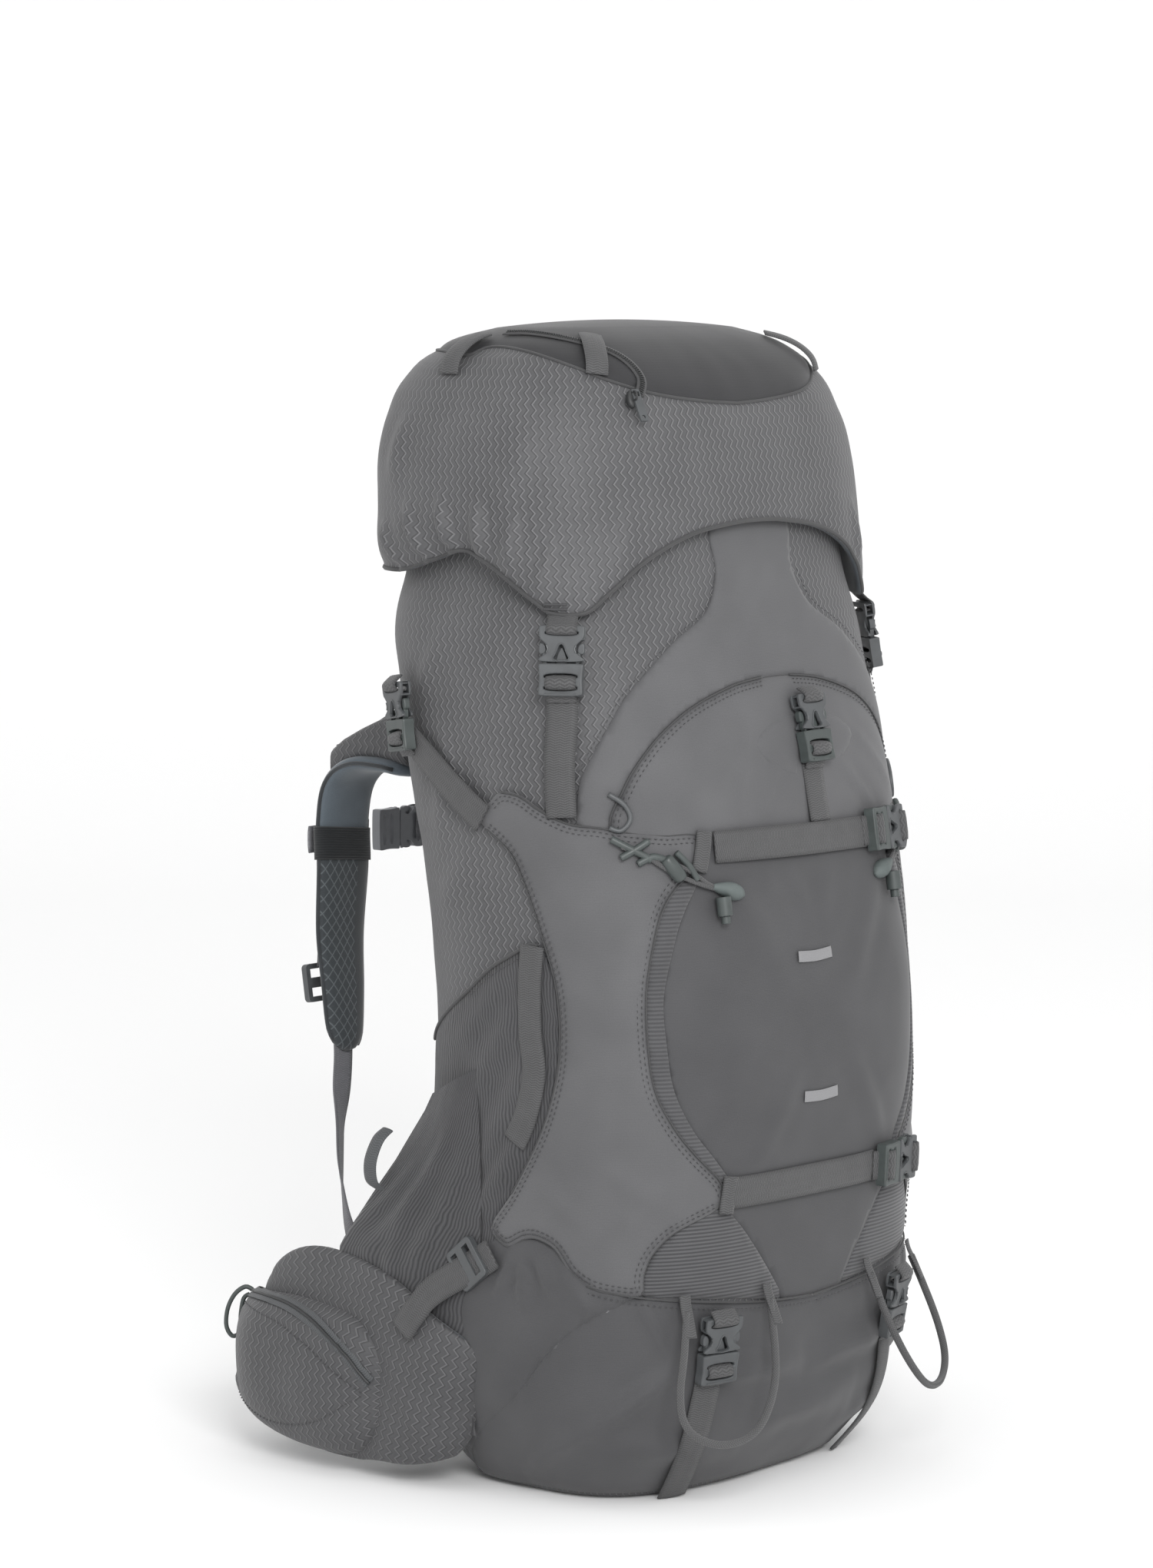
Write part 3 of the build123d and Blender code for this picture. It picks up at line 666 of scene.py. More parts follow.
# ---------------------------------------------------------------- stage
def make_stage():
    """A pale floor that curves up behind, soft light, and the camera at the photograph's angle."""
    width, depth, rise = 9000.0, 5000.0, 2500.0
    bend = [(-depth, 0.0), (3000.0, 0.0)]
    bend += [(3000 + 1500 * math.sin(a), 1500 - 1500 * math.cos(a)) for a in np.linspace(0.1, math.pi / 2,
                                                                                         14)]
    bend += [(4500.0, rise + 1500)]
    turn = Matrix.Rotation(math.radians(-50.0), 3, "Z")
    verts = []
    for y, z in bend:
        for x in (-width / 2, width / 2):
            verts.append(turn @ Vector((x, y, z)) * MM)
    mesh = bpy.data.meshes.new("studio_floor")
    mesh.from_pydata(verts, [], grid_faces(len(bend), 2))
    mesh.polygons.foreach_set("use_smooth", [True] * len(mesh.polygons))
    s = Surface("studio_floor", 0.9, 0.1)
    s.shader.inputs["Base Color"].default_value = (0.93, 0.93, 0.93, 1)
    mesh.materials.append(s.material)
    floor = bpy.data.objects.new("studio_floor", mesh)
    bpy.context.scene.collection.objects.link(floor)

    world = bpy.data.worlds.new("studio") if bpy.context.scene.world is None else bpy.context.scene.world
    bpy.context.scene.world = world
    world.use_nodes = True
    backdrop = world.node_tree.nodes["Background"]
    backdrop.inputs[0].default_value = (1.0, 1.0, 1.0, 1)
    backdrop.inputs[1].default_value = 0.97
    lights = {  # place in metres, size in metres, watts
        "key": ((-2.0, -2.4, 1.8), 1.2, 72),
        "front": ((0.6, -3.2, 1.4), 1.8, 6),
        "rim": ((-1.6, 2.4, 1.6), 1.4, 3),
    }
    for name, (place, size, watts) in lights.items():
        lamp = bpy.data.lights.new(name, "AREA")
        lamp.size, lamp.energy = size, watts
        lamp_object = bpy.data.objects.new(name, lamp)
        lamp_object.location = place
        lamp_object.rotation_euler = (Vector((0, 0, 0.4)) - Vector(place)).to_track_quat("-Z",
                                                                                         "Y").to_euler()
        bpy.context.scene.collection.objects.link(lamp_object)

    camera = bpy.data.objects.new("camera", bpy.data.cameras.new("camera"))
    camera.data.lens, camera.data.sensor_width = 111.2, 36.0
    camera.location = (-2.4913, -2.0369, 0.780)
    aim = Vector((-0.040, 0.020, 0.455)) - camera.location
    camera.rotation_euler = aim.to_track_quat("-Z", "Y").to_euler()
    bpy.context.scene.collection.objects.link(camera)
    bpy.context.scene.camera = camera
    bpy.context.scene.view_settings.view_transform = "Standard"


make_stage()


# ---------------------------------------------------------------- the bag
def bag_dents(degrees, z):
    """Soft sags and creases of the bag's own fabric, outward in millimetres."""
    points = np.stack([arc_of(degrees), z], -1)
    lift = 1.3 * rumple(points, 70, 3.0) + 0.5 * rumple(points, 24, 9.0)
    lift = lift + 2.5 * np.exp(-((z - 560) / 22) ** 2) - 3.0 * np.exp(-((z - 600) / 20) ** 2)
    creases = [
        ((560, -190), (520, -205), 9, 2.0), ((545, -165), (500, -175), 10, 1.6),
               ((500, -196), (455, -190), 9, 1.8),
        ((470, -196), (430, -205), 12, 2.0), ((420, -190), (385, -206), 12, 1.6),
               ((570, -132), (545, -128), 6, 1.0),
    ]
    for start, end, width, height in creases:
        lift = lift + fold_at(points, start, end, width, height)
        lift = lift + fold_at(points, mirrored([start])[0], mirrored([end])[0], width, height)
    folded = np.where(degrees > -90, -180 - degrees, degrees)
    covered = np.exp(-((folded + 90) / 48) ** 6)
    return lift * (1 - np.exp(-((folded + 270) / 38) ** 4)) * (1 - covered)


def closing_caps(rows, columns):
    """The faces that close a grid's first and last rings."""
    last = (rows - 1) * columns
    return [tuple(reversed(range(columns))), tuple(range(last, last + columns))]


def make_bag():
    """One shell for the main bag and its collar, with its lining, hem and floor."""
    columns = 300
    degrees = np.linspace(-270, 90, columns, endpoint=False)
    arcs = arc_of(degrees)
    rows, flats = [], []

    def add_row(z, lift, shrink=1.0, heights=None):
        ring = skin(np.full(columns, float(z)), degrees, lift)
        middle = np.array([0.0, (table_at(BAG, z)[1] + table_at(BAG, z)[2]) / 2, 0.0])
        ring[:, :2] = middle[:2] + (ring[:, :2] - middle[:2]) * shrink
        if heights is not None:
            ring[:, 2] = heights
        rows.append(ring)
        flats.append(np.stack([arcs * shrink, np.full(columns,
                                                      z if heights is None else z - (1 - shrink) * 130)],
                              -1))

    for shrink in (0.02, 0.3, 0.6, 0.85):
        add_row(2, 0.0, shrink, 1.2)
    for z in (1.5, 3.5, 7.0, 12.0):
        add_row(z, -3.5 * (1 - z / 13.0))
    for z in np.arange(17, COLLAR_TOP - 4, 5.0):
        add_row(z, bag_dents(degrees, np.full(columns, z)))
    for angle in np.linspace(0, math.pi, 7):
        add_row(COLLAR_TOP - 3 + 3 * math.sin(angle), -3 + 3 * math.cos(angle))
    for z in np.arange(COLLAR_TOP - 6, 14, -9.0):
        add_row(z, -6.0)
    for shrink in (0.9, 0.6, 0.3, 0.02):
        add_row(10, -6.0, shrink, 8.0)
    verts, uvs = np.concatenate(rows), np.concatenate(flats)
    faces = grid_faces(len(rows), columns, True)
    lining_from = 4 + 4 + len(np.arange(17, COLLAR_TOP - 4, 5.0)) + 5
    ids = [1 if k // columns >= lining_from else 0 for k in range(len(faces))] + [0, 1]
    faces += closing_caps(len(rows), columns)
    make_piece("bag_shell", verts, faces, [RIPSTOP, LINING], "pack", "ripstop", uvs,
               ["main_bag", "collar", "collar_drawcord"], ids=ids)


# places are (z, degrees); the left side is listed and the right side mirrors it
ARCH_OUTER = [(430, -151), (446, -150), (468, -148), (484, -144.5), (508, -138), (528, -132), (556, -120),
              (576, -108.5), (600, -104), (634, -103)]
ARCH_INNER = [(430, -142), (448, -141.5), (464, -138), (480, -134), (500, -127), (516, -118), (527, -106),
              (531, -95)]
WING_TOP = [(446, -184), (456, -178), (463, -173), (461, -166), (453, -160), (445, -152), (443, -145),
            (440, -139), (437, -130), (435, -122)]
WING_FRONT = [(416, -122), (407, -127.5), (392, -132), (372, -135), (340, -138), (304, -138.5), (276, -137),
              (252, -132.5), (234, -127.5), (216, -121.5), (203, -119.5)]
WING_LOWER = [(196, -122), (185, -131), (172, -136), (158, -138), (145, -138.5), (146, -146), (150, -152),
              (158, -157), (172, -162), (177, -168), (176, -173), (169, -180), (176, -186), (184, -186)]
WING_BACK = [(204, -179), (226, -173), (248, -168), (276, -164), (304, -162), (340, -162), (372, -165),
             (400, -168.5), (424, -173), (438, -181)]
WING = WING_TOP + WING_FRONT + WING_LOWER + WING_BACK
BAND_FRONT = [(407, -123.5), (390, -127), (372, -130), (336, -134), (304, -134), (276, -132.5), (250, -128),
              (228, -122), (212, -118)]
POCKET_SIDE = [(431, -122), (404, -125), (372, -131), (336, -135), (304, -135), (272, -133), (244, -128),
               (220, -121), (200, -118)]
GUSSET_PLACES = [(202, -121), (190, -128), (172, -135.5), (146, -138.5), (141, -130), (136, -116),
                 (131, -101),
                 (150, -105.5), (176, -112.5)]
APRON_SIDE = [(205, -119), (176, -112.5), (150, -105.5), (128, -100)]
BOTTOM_SEAM = [(176, -212), (180, -190), (150, -152), (143, -138), (131, -108), (127, -90)]
HEM = [(366, -167), (366, -170), (358, -178), (348, -187), (332, -197), (312, -210), (292, -222)]


def wing_shape(points, gap):
    """Gentle drum and pull lines of the wrap panel."""
    lift = 0.5 * rumple(points, 60, 5.0)
    for start, end, width, height in (((410, -134), (300, -150), 16, 1.2),
                                      ((230, -150), (190, -128), 10, 1.3),
                                      ((210, -168), (185, -150), 9, 1.2),
                                      ((200, -140), (160, -147), 8, 1.2),
                                      ((440, -170), (400, -158), 9, 1.0)):
        lift = lift + fold_at(points, start, end, width, height)
    return lift


def pocket_shape(points, gap):
    lift = 0.9 * rumple(points, 75, 8.0) + 2.2 * np.clip(gap / 45, 0, 1)
    for sign in (-1, 1):
        for start, end, width, height in (((408, -116), (330, -100), 14, 1.5),
                                          ((222, -112), (280, -100), 12, 1.6),
                                          ((412, -98), (380, -92), 10, 0.9)):
            if sign > 0:
                start, end = mirrored([start])[0], mirrored([end])[0]
            lift = lift + fold_at(points, start, end, width, height)
    return lift


def yoke_shape(points, gap):
    lift = 0.8 * rumple(points, 45, 2.0)
    for start, end in (((498, -104), (440, -112)), ((476, -96), (440, -106)), ((474, -74), (440, -62)),
                       ((500, -70), (452, -50))):
        lift = lift + fold_at(points, start, end, 5, 1.3)
    return lift


def arch_shape(points, gap):
    return 0.4 * rumple(points, 50, 4.0)


def bottom_shape(points, gap):
    """The slack bottom compartment, with its gathers and long soft creases."""
    lift = 1.4 * rumple(points, 60, 6.0) + 0.4 * rumple(points, 20, 2.0)
    creases = [
        ((140, -138), (104, -131), 5, 2.0), ((88, -118), (80, -92), 12, 2.4),
               ((90, -86), (84, -58), 12, 2.0),
        ((92, -130), (52, -150), 9, 3.0), ((56, -150), (14, -176), 9, 2.6),
               ((172, -170), (140, -160), 6, 2.6),
        ((170, -176), (136, -182), 6, 2.4), ((172, -173), (130, -172), 7, 2.6),
               ((160, -160), (132, -150), 7, 2.0),
        ((124, -165), (60, -190), 14, 2.2), ((40, -140), (30, -110), 12, 2.0),
               ((60, -110), (40, -70), 14, 2.0),
    ]
    for start, end, width, height in creases:
        lift = lift + 1.6 * fold_at(points, start, end, width, height)
        lift = lift + 1.6 * fold_at(points, mirrored([start])[0], mirrored([end])[0], width, height)
    return lift


def make_bottom():
    """The bottom compartment's panels: a wide front, and an oval gore on each side."""
    front = [(143, -138), (137, -122), (131, -108), (127, -90), (131, -72), (137, -58), (143, -42)]
    front += [(126, -26), (100, -14), (70, -2), (44, 14), (20, 24), (5, 26), (5, -10), (5, -50), (5, -90),
              (5, -130)]
    front += [(5, -170), (5, -206), (20, -204), (44, -194), (70, -178), (100, -166), (126, -154)]
    panel_piece("bottom_front", front, BOTTOM_CLOTH_PAINTED_SHADE, "plain_fabric", replaces=["sleeping_bag_flap"],
                base=0.5, puff=2.2, reach=14, shape=bottom_shape, spacing=5)
    gore = [(178, -186), (180, -176), (178, -168), (172, -160), (156, -151), (142, -141), (124, -152),
            (100, -163.5),
            (70, -175), (44, -190), (24, -203), (50, -214), (100, -216), (150, -210), (172, -198)]
    panel_piece("bottom_gores", gore, BOTTOM_CLOTH_PAINTED_SHADE, "plain_fabric", both=True, base=0.5, puff=5.0, reach=20,
                shape=bottom_shape, spacing=5)


def make_front():
    """Arch band, yoke, pocket, gussets and apron."""
    outline = ARCH_OUTER + mirrored(ARCH_OUTER)[::-1]
    outline += mirrored(ARCH_INNER) + ARCH_INNER[::-1]
    panel_piece("arch_band", outline, CLOTH, "plain_fabric", replaces=["front_arch"], base=1.2, puff=1.4,
                reach=5, shape=arch_shape, spacing=4.5)
    yoke = ARCH_INNER + [(531, -85)] + mirrored(ARCH_INNER[:-1])[::-1] + [(424, -60), (424, -90),
                                                                          (424, -120)]
    panel_piece("flap_yoke", yoke, CLOTH, "plain_fabric", replaces=["flap_panel"], base=0.8, puff=3.4,
                reach=12, shape=yoke_shape, spacing=5)
    pocket = POCKET_SIDE + [(200, -90)] + mirrored(POCKET_SIDE)[::-1] + [(431, -90)]
    panel_piece("front_pocket_cloth", pocket, FRONT_CLOTH, "plain_fabric", replaces=["front_pocket"],
                base=0.8,
                puff=2.6, reach=12, shape=pocket_shape, spacing=5)
    panel_piece("gussets", GUSSET_PLACES, GUSSET, "stretch", both=True, replaces=["pocket_gussets"],
                base=0.9,
                puff=1.8, reach=8, spacing=4.5)
    apron = APRON_SIDE + [(125, -90)] + mirrored(APRON_SIDE)[::-1] + [(207, -90)]
    panel_piece("apron", apron, FRONT_CLOTH, "plain_fabric", replaces=["pocket_apron"], base=0.9, puff=2.0,
                reach=10, spacing=5)
    elastic = WING_FRONT[1:-1] + BAND_FRONT[::-1]
    panel_piece("pocket_bands", elastic, ELASTIC, "stretch", both=True, base=2.6, puff=0.8, reach=3,
                spacing=4,
                tuck=2.0)
    hood = [(466, -90), (478, -99.5), (492, -101.5), (504, -94), (508, -84), (504, -74), (493, -67),
            (480, -70),
            (473, -76), (478, -80), (482, -84), (478, -88)]
    panel_piece("buckle_hood", hood, CLOTH, "plain_fabric", base=3.6, puff=1.6, reach=4, spacing=3.5,
                tuck=2.6)


def make_wings():
    """The hourglass wrap panels, with bound edges."""
    panel_piece("wrap_panels", WING, CLOTH, "plain_fabric", both=True, replaces=["wing_left", "wing_right"],
                base=2.4, puff=1.6, reach=7, shape=wing_shape, spacing=5, tuck=2.4)


def side_pocket_shape(points, gap):
    lift = 0.8 * rumple(points, 40, 4.0)
    for start, end, width, height in (((330, -176), (250, -200), 12, 1.8),
                                      ((300, -172), (220, -190), 10, 1.8),
                                      ((270, -172), (200, -186), 8, 1.6),
                                      ((350, -178), (300, -200), 10, 1.4),
                                      ((240, -176), (180, -196), 8, 1.8)):
        lift = lift + fold_at(points, start, end, width, height)
    return lift


def make_side_pockets():
    """Stretch pockets that flare out to the hip wings, one piece each side."""
    places = HEM + [(250, -226), (200, -224), (150, -216), (150, -200), (156, -188), (168, -180),
                    (180, -186)]
    places += [(204, -179), (226, -173), (248, -168), (276, -164), (304, -162), (340, -162)]
    count = 26
    parts = Parts()
    verts, faces, uvs = sewn(places, base=1.2, puff=1.6, reach=6, shape=side_pocket_shape, spacing=5)
    parts.add(verts, faces, uvs)
    # the fin: from a line on the bag back and out to the hip wing, and down behind it
    steps = 40
    share = np.linspace(0, 1, steps)
    front_z = 282 - 245 * share
    front_degrees = -194 + 4 * np.sin(math.pi * share)
    front = skin(front_z, front_degrees, 4.0)
    edge_z = 262 - 226 * share
    edge_y = np.interp(edge_z, [30, 100, 116, 153, 168, 216, 250, 262],
                       [120, 120, 119, 114, 102, 63, 40, 34])
    edge_x = -169.0 - 4.0 * np.sin(math.pi * np.clip(share * 1.6, 0, 1))
    edge = np.stack([edge_x, edge_y, edge_z], -1)
    back = skin(edge_z - 4, np.full(steps, -232.0), 2.0)
    rows, flat_rows = [], []
    for k in range(count + 1):
        t = k / count
        line = front + (edge - front) * t
        spots = np.stack([t * 80 + 0 * share, line[:, 2]], -1)
        puff = 4.0 * math.sin(math.pi * t) + 1.4 * rumple(spots, 22, 7.0) * math.sin(math.pi * t)
        puff = puff + fold(spots, (30, 235), (62, 150), 7, 2.6) + fold(spots, (14, 215), (36, 145), 7, 2.4)
        puff = puff + fold(spots, (55, 215), (76, 165), 6, 2.0) + fold(spots, (45, 190), (50, 130), 6, 2.2)
        rows.append(line - np.stack([puff, 0 * puff, 0 * puff], -1))
        flat_rows.append(np.stack([arc_of(front_degrees) - k * 3.2 - 0.22 * (line[:, 2] - 200),
                                   line[:, 2]], -1))
    for k in range(10):
        rows.append(edge + [3.5, 1.5, -1] + (back - edge) * (k / 9))
        flat_rows.append(np.stack([arc_of(front_degrees) - (count + k * 2) * 3.2, edge_z], -1))
    parts.add(np.concatenate(rows), [f[::-1] for f in grid_faces(len(rows), steps)],
              np.concatenate(flat_rows))
    for side, turn in (("left", 1), ("right", -1)):
        verts = np.array(parts.verts) * [turn, 1, 1]
        faces = [f if turn > 0 else f[::-1] for f in parts.faces]
        make_piece("stretch_pocket_" + side, verts, faces, STRETCH, "pack", "stretch", np.array(parts.uvs),
                   ["side_pocket_" + side])


# ---------------------------------------------------------------- the lid
LID_EDGE = [(-270, 602), (-240, 602), (-215, 601), (-203, 602), (-190, 609), (-176, 616), (-165, 606),
            (-153, 586),
            (-148, 578), (-140, 578), (-134, 590), (-124, 611), (-112, 626), (-98, 632), (-90, 633)]


def lid_edge(degrees):
    """Height of the lid's lower edge, arched over the front and each side."""
    table = np.array(LID_EDGE, float)
    folded = np.where(degrees > -90, -180 - degrees, degrees)
    dense = curve_through(table, 2.0)
    return np.interp(folded, dense[:, 0], dense[:, 1])


TOP_SEAM = [(739, -186), (744, -178), (745, -168), (743, -156), (739, -146), (732, -136), (724, -128),
            (715, -116),
            (710, -102), (708, -90)]


SKIRT_ROWS = 40


def seam_height(degrees):
    """Height of the top panel's seam round the lid."""
    table = [(-270, 738), (-235, 742), (-205, 742)] + [(d, z) for z, d in TOP_SEAM]
    table = np.array(sorted(table), float)
    folded = np.where(degrees > -90, -180 - degrees, degrees)
    dense = curve_through(table, 2.0)
    return np.interp(folded, dense[:, 0], dense[:, 1])


def lid_dents(degrees, z):
    """Stuffing, gathers above the side arch, and the valley along the top seam."""
    points = np.stack([arc_of(degrees), z], -1)
    lift = 1.5 * rumple(points, 80, 12.0) + 0.5 * rumple(points, 26, 1.0)
    lift = lift + 2.2 * np.exp(-((z - 655) / 45) ** 2)
    edge = lid_edge(degrees)
    lift = lift - 1.6 * np.exp(-((z - seam_height(degrees)) / 4) ** 2)
    folded = np.where(degrees > -90, -180 - degrees, degrees)
    side = np.exp(-((folded + 188) / 26) ** 2)
    lift = lift - (1.2 + 4.0 * side) * np.exp(-((z - edge) / 7) ** 2)
    lift = lift + (1.0 + 2.6 * side) * np.exp(-((z - edge - 20) / 14) ** 2)
    gathers = [
        ((610, -179), (650, -183), 7, 3.0), ((612, -169), (648, -168), 7, 3.0),
               ((606, -160), (638, -156), 7, 2.4),
        ((606, -190), (644, -198), 7, 2.6), ((600, -202), (630, -211), 7, 2.4),
               ((590, -152), (620, -146), 6, 1.6),
        ((600, -132), (640, -126), 8, 1.2), ((700, -200), (660, -206), 12, 1.5),
               ((690, -150), (650, -160), 14, 1.2),
    ]
    for start, end, width, height in gathers:
        lift = lift + 1.7 * fold_at(points, start, end, width, height)
        lift = lift + 1.7 * fold_at(points, mirrored([start])[0], mirrored([end])[0], width, height)
    return lift


def make_lid():
    """The stuffed lid: an arched skirt, a domed top and the lining of its cavity."""
    columns = 340
    degrees = np.linspace(-270, 90, columns, endpoint=False)
    arcs, edge = arc_of(degrees), lid_edge(degrees)
    rows, flats = [], []
    top = LID[-1][0]

    def add(ring, flat_z, squeeze=1.0):
        rows.append(ring)
        flats.append(np.stack([arcs * squeeze, flat_z], -1))

    ceiling = np.full(columns, LID_CEILING)
    for shrink in (0.02, 0.35, 0.7, 0.95):
        ring = skin(ceiling, degrees, -11.0, LID)
        middle = ring.mean(0)
        ring = middle + (ring - middle) * [shrink, shrink, 1]
        add(ring, ceiling + 100 * (1 - shrink), shrink)
    for t in np.linspace(0.05, 1, 14):
        z = LID_CEILING + (edge + 1 - LID_CEILING) * t
        add(skin(z, degrees, -9.5 + 4.5 * t**3, LID), z)
    add(skin(edge - 1.2, degrees, -3.5, LID), edge - 1.2)
    add(skin(edge - 1.2, degrees, -1.5, LID), edge - 1.2)
    skirt_start = len(rows)
    seam = seam_height(degrees)
    for t in np.linspace(0, 1, SKIRT_ROWS):
        z = edge + (seam - edge) * t
        add(skin(z, degrees, lid_dents(degrees, z), LID), z)
    top_start = len(rows)
    for t in np.linspace(0, 1, 11)[1:]:
        z = seam + (top - seam) * (1 - (1 - t) ** 1.2)
        swell = 1.6 * (1 - np.exp(-(z - seam) / 5))
        add(skin(z, degrees, lid_dents(degrees, z) + swell, LID), z)
    crown = rows[-1].copy()
    middle = crown.mean(0)
    for shrink in np.linspace(0.92, 0.02, 12):
        ring = middle + (crown - middle) * [shrink, shrink, 1]
        ring[:, 2] = top + (ring[:, 2] - top) * shrink + 5.0 * (1 - shrink**2)
        rows.append(ring)
        flats.append(np.stack([ring[:, 0], top + ring[:, 1]], -1))
    verts, uvs = np.concatenate(rows), np.concatenate(flats)
    faces = grid_faces(len(rows), columns, True)
    ids = []
    for k in range(len(faces)):
        row = k // columns
        ids.append(1 if row < skirt_start - 1 else 2 if row >= top_start - 1 else 0)
    ids += [1, 2]
    faces += closing_caps(len(rows), columns)
    make_piece("lid_shell", verts, faces, [RIPSTOP, LINING, TOP_CLOTH], "lid", "ripstop", uvs, ["lid"],
               ids=ids)
    piping = skin(seam, degrees, 0.6 + lid_dents(degrees, seam), LID)
    verts, faces, uvs = tube(piping, 1.1, 6, True)
    make_piece("lid_top_piping", verts, faces, BINDING, "lid", "webbing", uvs)


def edge_band(name, height, material, lift):
    """Dark binding along the lid's lower edge."""
    degrees = np.linspace(-270, 90, 361)
    edge = lid_edge(degrees)
    points = skin(edge, degrees, lift + lid_dents(degrees, edge), LID)
    verts, faces, uvs = tube(points[:-1], height, 6, True)
    make_piece(name, verts, faces, material, "lid", "webbing", uvs)


# ---------------------------------------------------------------- webbing on the bag
STRAP_LIFT = 4.6
PANEL_LIFT = 4.4  # the wrap panels' outer face


def strap_piece(name, runs, width, material=None, body="pack", replaces=(), both=False, thick=1.7, bow=0.3):
    """Webbing made of one or more runs; each run is points and normals."""
    parts = Parts()
    for points, normals in runs:
        verts, faces, uvs = band(points, normals, width, thick, bow=bow)
        parts.add(verts, faces, uvs)
        if both:
            parts.add(verts * [-1, 1, 1], [f[::-1] for f in faces], uvs)
    return parts.piece(name, material or WEBBING, body, "webbing", replaces)


def make_straps():
    lid_run = surface_line([(449, -153.5), (480, -152), (510, -149.5), (524, -148.5)], 3.4)
    strap_piece("lid_strap_webbing", [lid_run], 20, both=True, replaces=["lid_straps"])
    flap = surface_line([(436, -84, 0.2), (455, -84, -0.6), (474, -84, -0.8)], STRAP_LIFT)
    high = surface_line([(427.5, -119, 0.6), (427, -108, 1.5), (426, -92, 2), (425.5, -78, 1.5),
                         (425, -68, 1)], STRAP_LIFT)
    low = surface_line([(207, -119), (207, -105, 0.5), (206.5, -92, 0.5), (206, -80, 0.5), (206, -71)],
                       STRAP_LIFT)
    strap_piece("front_strap_webbing", [flap, high, low], 20, replaces=["front_straps"])
    pad = surface_line([(5, -126), (30, -125), (56, -123.5), (86, -121.8)], STRAP_LIFT)
    strap_piece("pad_strap_webbing", [pad], 20, both=True, replaces=["pad_straps"])
    side = surface_line([(492, -207), (480, -200), (466, -193), (453, -186), (445, -181)], STRAP_LIFT)
    strap_piece("side_strap_webbing", [side], 20, both=True, replaces=["side_straps"])
    hip_runs()
    rear_low, facing_low = surface_line([(536, 68), (560, 68), (584, 68)], 1.8)
    rear_high, facing_high = surface_line([(614, 68), (630, 68), (648, 68)], 1.6, 3.0, LID)
    rear = np.concatenate([rear_low, rear_high]), np.concatenate([facing_low, facing_high])
    piece = strap_piece("lid_rear_webbing", [rear], 25, body=None, both=True, replaces=["lid_rear_straps"])
    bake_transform(piece)
    # vertical webbing along the wrap panel's back edge, and the patches that hold the front straps
    strip = surface_line([(366, -168.5), (340, -171), (310, -172), (284, -171), (256, -174), (238, -178)],
                         3.2)
    patch_high = surface_line([(438, -121), (426, -122), (413, -123.5)], PANEL_LIFT + 0.4)
    patch_low = surface_line([(218, -119), (206, -119.5), (194, -120)], PANEL_LIFT)
    strap_piece("wrap_edge_webbing", [strip], 18, both=True)
    strap_piece("strap_anchor_patches", [patch_high, patch_low], 11, both=True, thick=2.2)


def hip_runs():
    """The lower side straps, from their ladder locks out to the hip wings."""
    root = [(164, -184), (158, -188)]
    start = [tuple(skin(float(z), float(d)) + skin_normal(float(z), float(d)) * (STRAP_LIFT + 2)) for z,
             d in root]
    outward = [tuple(skin_normal(float(z), float(d))) for z, d in root]
    for side, turn in (("left", 1), ("right", -1)):
        points, normals = space_line(start + HIP_RUN, outward + [(-1, 0.1, 0.1)] * len(HIP_RUN), 3.0)
        verts, faces, uvs = band(points * [turn, 1, 1], normals * [turn, 1, 1], 20, 1.7)
        piece = make_piece("hip_run_webbing_" + side, verts, faces, WEBBING, None, "webbing", uvs)
        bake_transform(piece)


HIP_RUN = [(-176.5, 24, 136), (-183, 36, 121), (-186, 46, 106)]


# ---------------------------------------------------------------- seams
def seam_pieces():
    """Piping in the seams and double rows of stitches beside them."""
    thread, piping = Parts(), Parts()

    def row(places, lift):
        points, normals = surface_line(places, lift)
        for turn in (1, -1):
            line, out = points * [turn, 1, 1], normals * [turn, 1, 1]
            stitches(thread, line, out)

    def pipe(places, lift, radius):
        points, _ = surface_line(places, lift, 3.0)
        for turn in (1, -1):
            verts, faces, uvs = tube(points * [turn, 1, 1], radius, 6)
            piping.add(verts, faces, uvs)

    front_edge = WING_TOP[1:] + WING_FRONT
    back_edge = WING_LOWER[6:] + WING_BACK
    for inset in (2.6, 5.4):
        for places in (front_edge, back_edge, WING_LOWER):
            row(inset_line(places, WING, inset), 3.5 + 0.08 * inset)
    for inset in (2.4, 5.0):
        row(inset_line(ARCH_INNER, ARCH_INNER, -inset, -1), 2.6)
    row(inset_line(ARCH_OUTER[:-1], ARCH_OUTER, inset=-2.6, way=1), 2.5)
    pipe(WING_TOP[2:] + WING_FRONT, 3.0, 0.6)
    pipe(WING_LOWER, 2.0, 0.6)
    pipe(WING_BACK, 2.4, 0.6)
    pipe(ARCH_INNER, 1.9, 0.6)
    pipe(BOTTOM_SEAM[2:], 2.4, 0.7)
    pipe(HEM, 2.6, 1.2)
    row([(z - 5, d) for z, d in HEM[:5]], 3.6)
    row([(z - 4, d) for z, d in BOTTOM_SEAM[2:]], 3.6)
    tacks = Parts()
    for z in (580.5, 583.5):
        points, normals = surface_line([(z, -150), (z, -147), (z, -144)], 0.9, 3.0, LID)
        for turn in (1, -1):
            verts, faces, uvs = tube(points * [turn, 1, 1], 0.8, 6)
            tacks.add(verts, faces, uvs)
    tacks.piece("lid_bar_tacks", THREAD, "lid", "webbing")
    thread.piece("seam_stitches", THREAD, "pack", "webbing", smooth=False)
    piping.piece("seam_piping", BINDING, "pack", "webbing")


